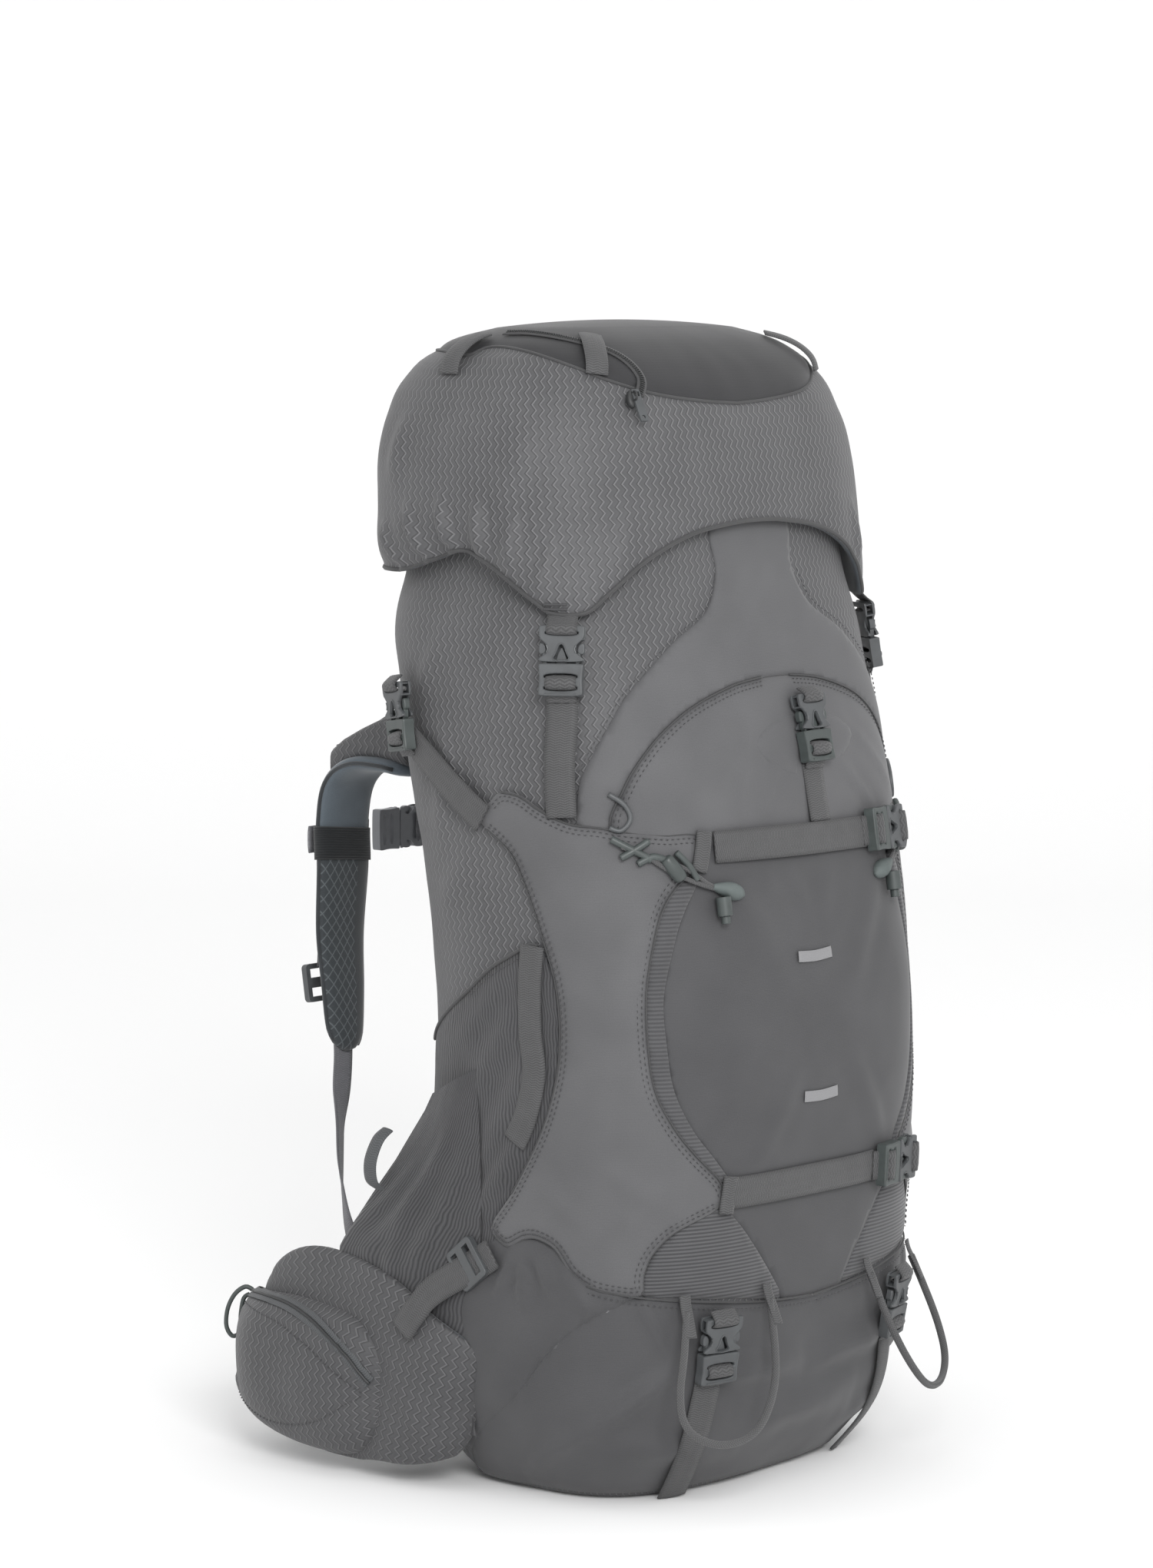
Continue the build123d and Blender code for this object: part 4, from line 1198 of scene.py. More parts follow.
def inset_line(places, whole, inset, way=1):
    """The line moved sideways by inset millimetres, towards the inside of its panel."""
    line = flat(places)
    smooth = curve_through(line, 6.0)
    along = np.gradient(smooth, axis=0)
    along /= np.maximum(np.linalg.norm(along, axis=1, keepdims=True), 1e-9)
    aside = np.stack([along[:, 1], -along[:, 0]], -1) * way
    if len(whole) == len(WING):
        test = smooth[len(smooth) // 2] + aside[len(smooth) // 2] * 3
        loop = flat(whole)
        if not inside(test[None, :], loop)[0]:
            aside = -aside
    moved = smooth + aside * inset
    return [(z, d) for z, d in zip(moved[:, 1], degrees_of(moved[:, 0]))]


# ---------------------------------------------------------------- side-release buckles
BUCKLE_LIFT = 6.6
BUCKLE_TOP = 7.6
BUCKLE_PLACES = {  # height and degrees of each mouth, the way its socket points, and whether there are two
    "lid": (545, -147, (0, 0, 1), True),
    "flap": (494, -84, (0, 0, 1), False),
    "front_high": (425, -62, (1, 0, 0), False),
    "front_low": (206, -64, (1, 0, 0), False),
    "pad": (106, -121, (0, 0, 1), True),
    "side": (505, -209, (0, 0.15, 1), True),
}


def rounded(loop, rounds=2):
    """A closed outline with its corners cut round."""
    loop = np.array(loop, float)
    for _ in range(rounds):
        after = np.roll(loop, -1, axis=0)
        loop = np.stack([loop * 0.75 + after * 0.25, loop * 0.25 + after * 0.75], 1).reshape(-1, 2)
    return loop


def both_sides(half):
    """A symmetrical outline from its right half, listed from the top down."""
    return half + [(-x, y) for x, y in half[::-1]]


def shrunk(loop, inset):
    """The outline moved inwards by inset; a negative inset grows it."""
    ahead, behind = np.roll(loop, -1, axis=0), np.roll(loop, 1, axis=0)
    along = ahead - behind
    along /= np.maximum(np.linalg.norm(along, axis=1, keepdims=True), 1e-9)
    aside = np.stack([-along[:, 1], along[:, 0]], -1)
    area = 0.5 * np.sum(loop[:, 0] * ahead[:, 1] - ahead[:, 0] * loop[:, 1])
    return loop + aside * inset * (1 if area > 0 else -1)


def slab(outline, low, high, holes=(), bevel=0.9):
    """A plate with holes and a rounded upper edge: verts and faces."""
    loops = [(outline, 1)] + [(hole, -1) for hole in holes]
    tops = [shrunk(loop, bevel * way) for loop, way in loops]
    mids = [shrunk(loop, bevel * way * 0.3) for loop, way in loops]
    verts, faces, ranges = [], [], []
    for (loop, way), mid, top in zip(loops, mids, tops):
        start = len(verts)
        count = len(loop)
        for ring, z in ((loop, low), (loop, high - bevel), (mid, high - bevel * 0.3), (top, high)):
            verts.extend([(x, y, z) for x, y in ring])
        for r in range(3):
            for k in range(count):
                d = (k + 1) % count
                faces.append((start + r * count + k, start + r * count + d,
                              start + (r + 1) * count + d, start + (r + 1) * count + k))
        ranges.append((start, count))
    for which in (3, 0):
        flat_points, index, edges = [], [], []
        for start, count in ranges:
            first = len(flat_points)
            for k in range(count):
                v = start + which * count + k
                flat_points.append(Vector(verts[v][:2]))
                index.append(v)
                edges.append((first + k, first + (k + 1) % count))
        found, _, triangles, origins, _, _ = delaunay_2d_cdt(flat_points, edges, [], 1, 1e-5)
        for tri in triangles:
            middle = np.array([[sum(found[v][i] for v in tri) / len(tri) for i in (0, 1)]])
            bounds = tops if which == 3 else [loop for loop, _ in loops]
            if any(inside(middle, hole)[0] for hole in bounds[1:]):
                continue
            ids = []
            for v in tri:
                if not origins[v]:
                    origins[v].append(len(index))
                    index.append(len(verts))
                    verts.append((found[v][0], found[v][1], high if which == 3 else low))
                ids.append(index[origins[v][0]])
            faces.append(tuple(ids) if which == 3 else tuple(ids[::-1]))
    return np.array(verts), faces


def ring_hole(x_half, y_low, y_high):
    return rounded([(-x_half, y_low), (x_half, y_low), (x_half, y_high), (-x_half, y_high)])


SOCKET_HALF = [(12.6, 24), (14.5, 23.4), (14.6, 19.5), (14.2, 15.8), (11.6, 13.4), (9.6, 11.4), (8.8, 8.8),
               (9.6, 6.2), (12.2, 4.4), (14.4, 2.8), (14.0, 0.5)]
PLUG_HALF = [(13.6, -0.2), (14.5, -1.2), (14.0, -6.0), (13.7, -12), (14.4, -19.4), (13.2, -21)]
BUTTON = [(9.8, 6.9), (12.4, 5.4), (14.4, 6.2), (14.7, 9.2), (14.3, 12.4), (12.6, 13.0), (10.4, 11.2)]
WINDOW = [(-5.6, 1.9), (5.6, 1.9), (3.0, 5.8), (1.2, 11.6), (-1.2, 11.6), (-3.0, 5.8)]


def socket_mesh():
    parts = Parts()
    outline = rounded(both_sides(SOCKET_HALF))
    window, slot = rounded(WINDOW), ring_hole(10.7, 17.4, 20.8)
    parts.add(*slab(outline, 5.6, BUCKLE_TOP, [window, slot], 0.8))
    parts.add(*slab(outline, 0.0, 1.4, [slot], 0.3))
    wall = rounded([(-13.6, 23.4), (13.6, 23.4), (13.6, 21.2), (-13.6, 21.2)])
    parts.add(*slab(wall, 0.2, 7.0, (), 0.4))
    cross = rounded([(-13.9, 16.9), (13.9, 16.9), (13.9, 13.6), (-13.9, 13.6)])
    parts.add(*slab(cross, 0.4, 6.8, (), 0.4))
    line = np.concatenate([shrunk(window, -0.7), np.full((len(window), 1), BUCKLE_TOP)], axis=1)
    parts.add(*tube(line, 0.55, 6, True))
    for side in (-1, 1):
        lip = [(side * x, y, BUCKLE_TOP - 0.1) for x, y in ((9.4, 11.2), (8.6, 8.8), (9.4, 6.4))]
        parts.add(*tube(curve_through(lip, 0.7), 0.6, 6))
    return parts


def plug_mesh():
    parts = Parts()
    outline = rounded(both_sides(PLUG_HALF))
    slots = [ring_hole(10.7, -17.8, -13.9), ring_hole(10.7, -10.5, -6.7)]
    parts.add(*slab(outline, 0.0, BUCKLE_TOP, slots, 1.0))
    for side in (-1, 1):
        button = rounded([(side * x, y) for x, y in BUTTON][::side])
        parts.add(*slab(button, 1.9, 5.5, (), 0.7))
        arm = rounded([(side * x, y) for x, y in ((8.6, -1), (11.4, -1), (12.4, 6.5),
                                                  (10.2, 8.0))][::side], 1)
        parts.add(*slab(arm, 2.2, 5.2, (), 0.3))
    guide = rounded([(-4.6, -1), (4.6, -1), (1.0, 9.6), (-1.0, 9.6)], 1)
    parts.add(*slab(guide, 2.4, 5.2, (), 0.4))
    for y in (-12.2, -19.2):
        rib = [(-10.0, y, BUCKLE_TOP), (10.0, y, BUCKLE_TOP)]
        parts.add(*tube(curve_through(rib, 2.0), 0.5, 6))
    return parts


def buckle_axes(z, degrees, up):
    normal = skin_normal(float(z), float(degrees))
    across = np.cross(up, normal)
    across /= np.linalg.norm(across)
    return skin(float(z), float(degrees)) + normal * BUCKLE_LIFT, across, np.cross(normal, across), normal


def placed(parts, axes, scale=1.0):
    origin, across, along, out = axes
    verts = np.array(parts.verts) * scale
    return origin + verts[:, :1] * across + verts[:, 1:2] * along + verts[:, 2:] * out, parts.faces


WRAP_WIDTH, WRAP_THICKNESS = 19, 1.5


def frame_band(axes, run):
    """Webbing in a buckle's own frame, through (along, out) places."""
    origin, _, along, out = axes
    line = curve_through(np.array(run, float), 1.2)
    points = origin + line[:, :1] * along + line[:, 1:] * out
    tangent = np.gradient(line, axis=0)
    normals = -tangent[:, 1:] * along + tangent[:, :1] * out
    normals = normals / np.linalg.norm(normals, axis=1, keepdims=True)
    return band(points, normals, WRAP_WIDTH, WRAP_THICKNESS)


PLUG_WRAP = [(-24, -1.2), (-21, 0.2), (-18.2, 1.2), (-16.4, 3.6), (-15.2, 6.8), (-13.2, 8.2), (-11.2, 8.0),
             (-9.6, 5.6), (-8.6, 2.2)]
SOCKET_WRAP = [(18.6, 1.8), (18.8, 5.0), (20.2, 7.9), (22.6, 8.4), (25.0, 6.0), (27.5, 2.6)]


def make_buckles():
    """Detailed side-release buckles in the places of the CAD ones."""
    socket, plug = socket_mesh(), plug_mesh()
    shells = {"pack": Parts(), "lid": Parts()}
    wraps = {"pack": Parts(), "lid": Parts()}
    for name, (z, degrees, up, both) in BUCKLE_PLACES.items():
        green = name in ("side", "front_high", "front_low", "flap")
        for side, turn in (("_left", 1), ("_right", -1)) if both else (("", 1),):
            axes = buckle_axes(z, degrees, up)
            if turn < 0:
                axes = tuple(a * [-1, 1, 1] for a in axes)
                axes = (axes[0], -axes[1], axes[2], axes[3])
            body = "lid" if name == "lid" else "pack"
            shells[body].add(*placed(socket, axes))
            wraps[body].add(*frame_band(axes, LID_WRAP if name == "lid" else SOCKET_WRAP))
            node = name + "_plug" + side
            verts, faces = placed(plug, axes)
            make_piece(node + "_shell", verts, faces, HARD_GREEN if green else BUCKLE, node, "buckle",
                       None, [node],
                       smooth=False)
            verts, faces, uvs = frame_band(axes, PLUG_WRAP)
            make_piece(node + "_wrap", verts, faces, WEBBING, node, "webbing", uvs)
    shells["pack"].piece("pack_socket_shells", BUCKLE, "pack", "buckle", ["buckle_sockets"], smooth=False)
    shells["lid"].piece("lid_socket_shells", BUCKLE, "lid", "buckle", ["lid_sockets"], smooth=False)
    wraps["pack"].piece("pack_socket_wraps", WEBBING, "pack", "webbing")
    wraps["lid"].piece("lid_socket_wraps", WEBBING, "lid", "webbing", ["lid_tabs"])
    up, out = np.array([0.0, 0, 1]), np.array([0.0, 1, 0])
    sternum = (np.array([-10.0, 205, 410]), up, np.cross(out, up), out)
    hip_plug = (np.array([-24.0, 240.2, 69]), up, np.cross(out, up), out)
    hip_socket = (np.array([-2.0, 240.2, 69]), up, np.cross(out, up), out)
    rows = [("sternum_socket", socket, sternum, 1.0, "chest_strap"),
            ("sternum_plug", plug, sternum, 1.0, "sternum_plug"),
            ("hip_socket", socket, hip_socket, 1.3, "hip_wing_right"),
            ("hip_plug", plug, hip_plug, 1.3, "hip_wing_left")]
    for node, shape, axes, scale, body in rows:
        verts, faces = placed(shape, axes, scale)
        # the sternum buckle takes the lighter plastic as painted light
        plastic = STERNUM_PLASTIC_PAINTED_LIGHT if node.startswith("sternum") else BUCKLE
        make_piece(node + "_shell", verts, faces, plastic, body, "buckle", None, [node], smooth=False)


LID_WRAP = [(17.6, 0.9), (18.6, 3.0), (19.0, 6.0), (20.6, 8.3), (23.0, 7.6), (26, 4.6), (31, 1.0),
            (38, -1.6), (46, -2.2)]


# ---------------------------------------------------------------- loops and cords
def nurbs_points(name, points):
    """Points in millimetres read from a NURBS spline with these control points."""
    data = bpy.data.curves.new(name, "CURVE")
    data.dimensions = "3D"
    data.resolution_u = 10
    spline = data.splines.new("NURBS")
    spline.points.add(len(points) - 1)
    for spot, point in zip(spline.points, points):
        spot.co = (*(np.array(point, float) * MM), 1)
    spline.order_u = 3
    spline.use_endpoint_u = True
    holder = bpy.data.objects.new(name, data)
    bpy.context.scene.collection.objects.link(holder)
    bpy.context.view_layer.update()
    mesh = bpy.data.meshes.new_from_object(holder)
    found = np.array([tuple(v.co) for v in mesh.vertices]) / MM
    bpy.data.objects.remove(holder)
    bpy.data.meshes.remove(mesh)
    return found


# height, degrees, and how far each point stands off
AXE_PLACES = [(134, -129, 9), (112, -130.5, 21), (88, -132.5, 33), (69, -132, 41), (60, -127, 44),
              (60, -121, 44),
              (67, -116.5, 41), (86, -112, 33), (110, -109.5, 21), (134, -108, 9)]
AXE_DIAMETER = 5.0
BUNGEE_DIAMETER = 3.0


def make_cords():
    """Ice-axe loops and the webbing tabs at their ends."""
    for side, turn in (("left", 1), ("right", -1)):
        route = [(skin(z, d) + skin_normal(z, d) * (lift + 1)) * [turn, 1, 1] for z, d, lift in AXE_PLACES]
        line = nurbs_points("axe_route", route)
        verts, faces, uvs = tube(line, AXE_DIAMETER / 2, 10)
        piece = make_piece("ice_axe_cord_" + side, verts, faces, CORD, "ice_axe_loop_" + side, "cord", uvs,
                           ["ice_axe_loop_" + side])
        ends = Parts()
        for z, d, _ in (AXE_PLACES[0], AXE_PLACES[-1]):
            points, normals = surface_line([(z + 10, d), (z + 4, d, 2), (z - 4, d, 7), (z - 14, d, 13)],
                                           5.6, 2.5)
            verts, faces, uvs = band(points * [turn, 1, 1], normals * [turn, 1, 1], 7.5, 1.4)
            ends.add(verts, faces, uvs)
        ends.piece("ice_axe_tabs_" + side, WEBBING, "ice_axe_loop_" + side, "webbing")


def make_bungee():
    """Elastic cords with their hook, barrel lock and rubber pull on each side, and the collar's lock."""
    pulls, hardware = Parts(), Parts()
    for side, turn in (("left", 1), ("right", -1)):
        for strand, drift in (("low", -3.0), ("high", 3.0)):
            places = [(431, -140), (424, -134.5 + drift * 0.1), (417 + drift, -130), (411 + drift, -126),
                      (404 + drift * 0.3, -122), (400, -118.5)]
            points, _ = surface_line(places, 7.2, 2.0)
            line = points * [turn, 1, 1]
            verts, faces, uvs = tube(line, BUNGEE_DIAMETER / 2, 12)
            stands_for = ["tool_bungees"] if (turn, drift) == (1, -3.0) else []
            piece = make_piece("bungee_cord_" + side + "_" + strand, verts, faces, CORD, "pack", "cord",
                               uvs, stands_for)
        # rubber teardrop pull at the low end
        points, _ = surface_line([(403, -121), (400, -117.5), (396, -113.5)], 7.6, 1.0)
        share = np.linspace(0, 1, len(points))
        radius = 1.8 + 4.0 * np.sin(math.pi * np.clip(share * 1.05, 0, 1) ** 1.5) ** 0.8
        verts, faces, uvs = tube(points * [turn, 1, 1], radius, 14)
        pulls.add(verts, faces, uvs)
        # hook: a flat toggle with a bent finger
        for run in ([(436, -142), (431, -139), (426, -136), (422, -134)],
                    [(424, -140.5), (429, -137), (434, -134)],
                    [(420, -137), (424, -133.5), (421, -130.5)]):
            points, _ = surface_line(run, 7.0, 1.5)
            verts, faces, uvs = tube(points * [turn, 1, 1], 2.4, 10)
            hardware.add(verts, faces, uvs)
        points, _ = surface_line([(423, -131), (409, -128)], 7.8, 1.0)
        share = np.linspace(0, 1, len(points))
        radius = 3.4 + 1.5 * np.sin(math.pi * share) ** 0.5
        verts, faces, uvs = tube(points * [turn, 1, 1], radius, 14)
        hardware.add(verts, faces, uvs)
        points, _ = surface_line([(426, -128.5), (417, -126), (408, -124.5)], 7.8, 1.0)
        verts, faces, uvs = tube(points * [turn, 1, 1], 2.2, 10)
        hardware.add(verts, faces, uvs)
        # the barrel lock that hangs under the pull
        points, _ = surface_line([(396, -119.5), (384, -119.5)], 10.5, 1.0)
        verts, faces, uvs = tube(points * [turn, 1, 1], 5.0, 16)
        hardware.add(verts, faces, uvs)
        points, _ = surface_line([(384, -119.5), (379, -119.5)], 10.5, 1.0)
        verts, faces, uvs = tube(points * [turn, 1, 1], 3.0, 12)
        hardware.add(verts, faces, uvs)
    height = COLLAR_TOP - 6
    front = float(table_at(BAG, height)[1]) + 16
    for low, high, radius in ((-7, 5, 5.0), (5, 9, 3.2)):
        verts, faces, uvs = tube(np.array([(0, front, height + low), (0, front, height + high)], float),
                                 radius, 16)
        hardware.add(verts, faces, uvs)
    pulls.piece("bungee_pulls", BULB, "pack", "buckle")
    hardware.piece("bungee_hardware", HARD_GREEN, "pack", "buckle", ["cord_locks"])


def make_loops():
    """Walking-pole loops, the haul loop, D-rings and daisy loops."""
    pole = [(-178.5, 64, 236), (-186, 66, 230), (-189, 70, 216), (-186, 72, 203), (-178.5, 72, 197)]
    faces = [(-0.5, 0, 1), (-1, 0, 0.6), (-1, 0, 0), (-1, 0, -0.6), (-0.5, 0, -1)]
    strap_piece("pole_loop_webbing", [space_line(pole, faces, 3.0)], 10, DARK_WEBBING, both=True,
                replaces=["pole_loops"], thick=1.4)
    back = float(skin(530.0, 90.0)[1])
    haul = [(-34, back + 2, 540), (-33, back + 9, 526), (-24, back + 14, 513), (-10, back + 16, 508),
            (10, back + 16, 508), (24, back + 14, 513), (33, back + 9, 526), (34, back + 2, 540)]
    strap_piece("haul_loop_webbing", [space_line(haul, [(0, 1, 0.25)] * 8, 3.0)], 8, DARK_WEBBING,
                "haul_loop",
                ["haul_loop"], thick=2.2, bow=0.0)
    daisy = []
    for degrees in (-186, -131, -49, 6):
        places = [(727, degrees, 0.4), (733, degrees, 4), (742, degrees, 4.6), (750, degrees, 1.5)]
        daisy.append(surface_line(places, 1.0, 2.0, LID))
    strap_piece("daisy_webbing", daisy, 15, body="lid", replaces=["lid_daisy_loops"])
    ring = Parts()
    for turn in (1, -1):
        places = [(464, -141), (457, -137.8), (448, -137), (441, -139.5), (443, -142)]
        points, _ = surface_line(places, 4.0, 2.0)
        verts, faces, uvs = tube(points * [turn, 1, 1], 1.7, 8)
        ring.add(verts, faces, uvs)
    ring.piece("gear_rings", BUCKLE, "pack", "buckle")


def make_zip():
    """The lid's arc zip with its slider, both left of the top seam."""
    arc = [(714, -121), (724, -119.5), (735, -122), (743, -128), (749, -140), (752, -156), (752, -174)]
    points, normals = surface_line(arc, 1.6, 2.5, LID)
    parts = Parts()
    parts.add(*band(points, normals, 7, 1.0))
    parts.piece("lid_zip_tape", BINDING, "lid", "zipper", ["lid_zipper"])
    teeth = Parts()
    travel = travel_along(points)
    _, side, out = frames_along(points, normals)
    for stop in np.arange(1, travel[-1] - 1, 1.6):
        spot = np.array([np.interp(stop, travel, points[:, i]) for i in range(3)])
        across = np.array([np.interp(stop, travel, side[:, i]) for i in range(3)])
        normal = np.array([np.interp(stop, travel, out[:, i]) for i in range(3)])
        ends = np.array([spot - across * 1.6 + normal * 1.2, spot + normal * 1.9,
                         spot + across * 1.6 + normal * 1.2])
        teeth.add(*tube(ends, 0.45, 5))
    teeth.piece("lid_zip_coil", COIL, "lid", "zipper")
    body = Parts()
    place, normal = skin(712.0, -123.5, 5.0, LID), skin_normal(712.0, -123.5, LID)
    across = np.cross((0, 0, 1), normal)
    across /= np.linalg.norm(across)
    up = np.cross(normal, across)
    outline = [(math.cos(a) * (3.6 - 0.9 * math.sin(a)),
                6.0 * math.sin(a)) for a in np.linspace(0, 2 * math.pi, 20)[:-1]]
    rows = [[place + across * x * s + up * y * s + normal * h for x, y in outline]
            for h, s in ((-1.5, 0.9), (-0.8, 1.0), (1.8, 1.0), (2.6, 0.86), (2.8, 0.4), (2.8, 0.05))]
    body.add(np.concatenate(rows), grid_faces(len(rows), len(outline), True))
    bail = [place + up * y + normal * h for y, h in ((-1.6, 2.4), (-1.8, 5.6), (-0.4, 6.8), (2.2, 6.8),
                                                     (3.6, 5.6), (3.8, 2.4))]
    body.add(*tube(curve_through(bail, 0.8), 0.7, 8))
    body.piece("lid_zip_slider", COIL, "lid", "zipper")


# ---------------------------------------------------------------- padding
def loft(points, normals, halves, depths, section=28, squareness=2.6, crown=0.0):
    """A padded strip: rounded sections centred on the points, with rounded ends."""
    points = np.asarray(points, float)
    _, side, out = frames_along(points, normals)
    travel = travel_along(points)
    verts, uvs = [], []
    turns = np.linspace(0, 2 * math.pi, section, endpoint=False)
    for k in range(len(points)):
        for t in turns:
            c, s = math.cos(t), math.sin(t)
            reach = (abs(c) ** squareness + abs(s) ** squareness) ** (-1 / squareness)
            x, y = halves[k] * reach * c, depths[k] * reach * s
            if y > 0:
                y += crown * (1 - min(1, abs(x / max(halves[k], 1e-6))) ** 2)
            verts.append(points[k] + side[k] * x + out[k] * y)
            uvs.append((x, travel[k]))
    faces = [f[::-1] for f in grid_faces(len(points), section, True)]
    last = (len(points) - 1) * section
    faces += [tuple(range(section)), tuple(last + k for k in reversed(range(section)))]
    return np.array(verts), faces, np.array(uvs)


def rounded_ends(halves, depths, travel, reach):
    """Narrows a loft towards both of its ends."""
    total = travel[-1]
    near = np.minimum(travel, total - travel)
    share = np.clip(near / reach, 0, 1)
    shape = np.sqrt(np.maximum(1 - (1 - share) ** 2, 0.0))
    return halves * (0.25 + 0.75 * shape), depths * (0.12 + 0.88 * shape)


STRAP_ROUTE = [(-70, 125, 459), (-72, 147, 464), (-77, 174, 461), (-80, 189, 447), (-82, 193, 421),
               (-85, 190, 391),
               (-88, 190, 346), (-92, 184, 311), (-96, 179, 285), (-100, 174, 268)]
STRAP_FACES = [(0, 0.1, 1), (0, -0.1, 1), (0, 0.5, 0.9), (0, 1, 0.4), (0, 1, 0), (0, 1, -0.05),
               (0, 1, -0.1),
               (0, 1, -0.15), (0, 1, -0.2), (0, 1, -0.25)]
STRAP_WIDTHS = [58, 56, 52, 50, 48, 47, 43, 38, 33, 25]
STRAP_DEPTH = 13.0
BAND_LOW, BAND_HIGH = 395.0, 418.0  # the elastic band round each shoulder strap


def make_shoulder_straps():
    for side, turn in (("left", 1), ("right", -1)):
        rows = np.concatenate([np.array(STRAP_ROUTE, float), np.array(STRAP_FACES, float) * 20,
                               np.array(STRAP_WIDTHS, float)[:, None]], axis=1)
        line = curve_through(rows, 4.0)
        points, normals, widths = line[:, :3], line[:, 3:6], line[:, 6]
        travel = travel_along(points)
        halves, depths = rounded_ends(widths / 2, np.full(len(points), STRAP_DEPTH / 2), travel, 16)
        verts, faces, uvs = loft(points, normals, halves, depths, 36, 2.5, 0.8)
        section = 36
        ids = []
        for f in faces:
            middle = verts[list(f)].mean(0)
            across = uvs[list(f), 0].mean()
            k = min(f[0] // section, len(points) - 1)
            if middle[2] > BAND_LOW + 8 or k < 12:
                ids.append(0)
            elif across < widths[k] * 0.16:
                ids.append(1)
            else:
                ids.append(2)
        verts = verts * [turn, 1, 1]
        faces = faces if turn > 0 else [f[::-1] for f in faces]
        piece = make_piece("shoulder_pad_" + side, verts, faces, [FOAM, LATTICE, DARK_FOAM], "pack",
                           "foam", uvs,
                           ["shoulder_strap_" + side], ids=ids)
    parts = Parts()
    k_low = [k for k in range(len(points)) if BAND_LOW <= points[k][2] <= BAND_HIGH and k > 12]
    for turn in (1, -1):
        verts, faces, uvs = loft(points[k_low], normals[k_low], widths[k_low] / 2 + 1.8,
                                 np.full(len(k_low), STRAP_DEPTH / 2 + 1.8), 36, 2.6, 0.6)
        parts.add(verts * [turn, 1, 1], faces if turn > 0 else [f[::-1] for f in faces], uvs)
    parts.piece("strap_elastic_bands", BLACK_ELASTIC, "pack", "stretch")
    edge = Parts()
    for turn in (1, -1):
        for way in (-1, 1):
            _, across, _ = frames_along(points, normals)
            line = (points + across * way * (halves[:, None] + 0.2))[3:-2]
            edge.add(*tube(line * [turn, 1, 1], 1.5, 8))
    edge.piece("strap_edge_binding", DARK_FOAM, "pack", "webbing")


def make_harness():
    lifter = space_line([(-80, 192, 473), (-80, 176, 480), (-80, 160, 488), (-80, 120, 510)],
                        [(0, 0.4, 1)] * 4)
    strap_piece("load_lifter_webbing", [lifter], 16, DARK_WEBBING, both=True, replaces=["load_lifters"])
    faces = [(0, 1, 0.2), (0, 1, 0.2), (0, 1, 0.3), (-0.3, 1, 0.5), (-0.3, 1, 0.8), (-0.5, 1, 0.8),
             (-0.6, 1, 0.8), (-0.6, 1, 0.8)]
    lower = space_line([(-98.5, 178, 284), (-100, 176, 264), (-104, 174, 240), (-112, 168, 215),
                        (-121, 158, 182), (-133, 136, 146),
                        (-137, 96, 116), (-137, 70, 106)], faces)
    face_web = space_line([(-82, 200.9, 434), (-84, 200.0, 400), (-90, 200, 346), (-93, 199, 322)],
                          [(0, 1, 0)] * 4)
    parts = Parts()
    for (points, normals), width in ((lower, 18), (face_web, 15)):
        for turn in (1, -1):
            verts, faces_found, uvs = band(points, normals, width, 1.5)
            parts.add(verts * [turn, 1, 1], faces_found if turn > 0 else [f[::-1] for f in faces_found],
                      uvs)
    parts.piece("harness_webbing_straps", HARNESS_WEBBING_PAINTED_LIGHT, "pack", "webbing", ["harness_webbing"])
    make_yoke()
    sleeve = back_grid(230, 530, 66, 114, 5.0, ribs=1, base=-22.0)
    make_piece("hydration_pocket", *sleeve[:2], LINING, "pack", "plain_fabric", sleeve[2],
               ["hydration_sleeve"])
    back_pad = back_grid(146, 495, 56, 124, 10.5, ribs=5)
    piece = make_piece("back_padding", *back_pad[:2], AIRMESH, "pack", "foam", back_pad[2], ["back_panel"])
    lumbar = back_grid(30, 140, 56, 124, 22.5, ribs=1)
    piece = make_piece("lumbar_padding", *lumbar[:2], AIRMESH, "pack", "foam", lumbar[2], ["lumbar_pad"])


YOKE_ROWS = [(122, 463, 505), (136, 466, 500), (150, 468, 494), (164, 467, 488), (178, 461, 481),
             (188, 452, 474)]


def make_yoke():
    """The ripstop wedges between each load lifter and its shoulder strap."""
    parts = Parts()
    for turn in (1, -1):
        verts, uvs = [], []
        for y, low, high in YOKE_ROWS:
            middle, half = (low + high) / 2, max((high - low) / 2, 0.5)
            for k in range(32):
                angle = 2 * math.pi * k / 32
                across, rise = math.cos(angle), math.sin(angle)
                reach = (abs(across) ** 4 + abs(rise) ** 4) ** -0.25
                verts.append((-80 + 19 * across * reach, y, middle + half * rise * reach))
                uvs.append((y, middle + half * rise * reach + 19 * across * reach))
        faces = [f[::-1] for f in grid_faces(len(YOKE_ROWS), 32, True)]
        last = (len(YOKE_ROWS) - 1) * 32
        faces += [tuple(range(32)), tuple(last + k for k in reversed(range(32)))]
        parts.add(np.array(verts) * [turn, 1, 1], faces if turn > 0 else [f[::-1] for f in faces],
                  np.array(uvs))
    parts.piece("harness_yoke", HIP_RIPSTOP_PAINTED_SHADE, "pack", "ripstop")


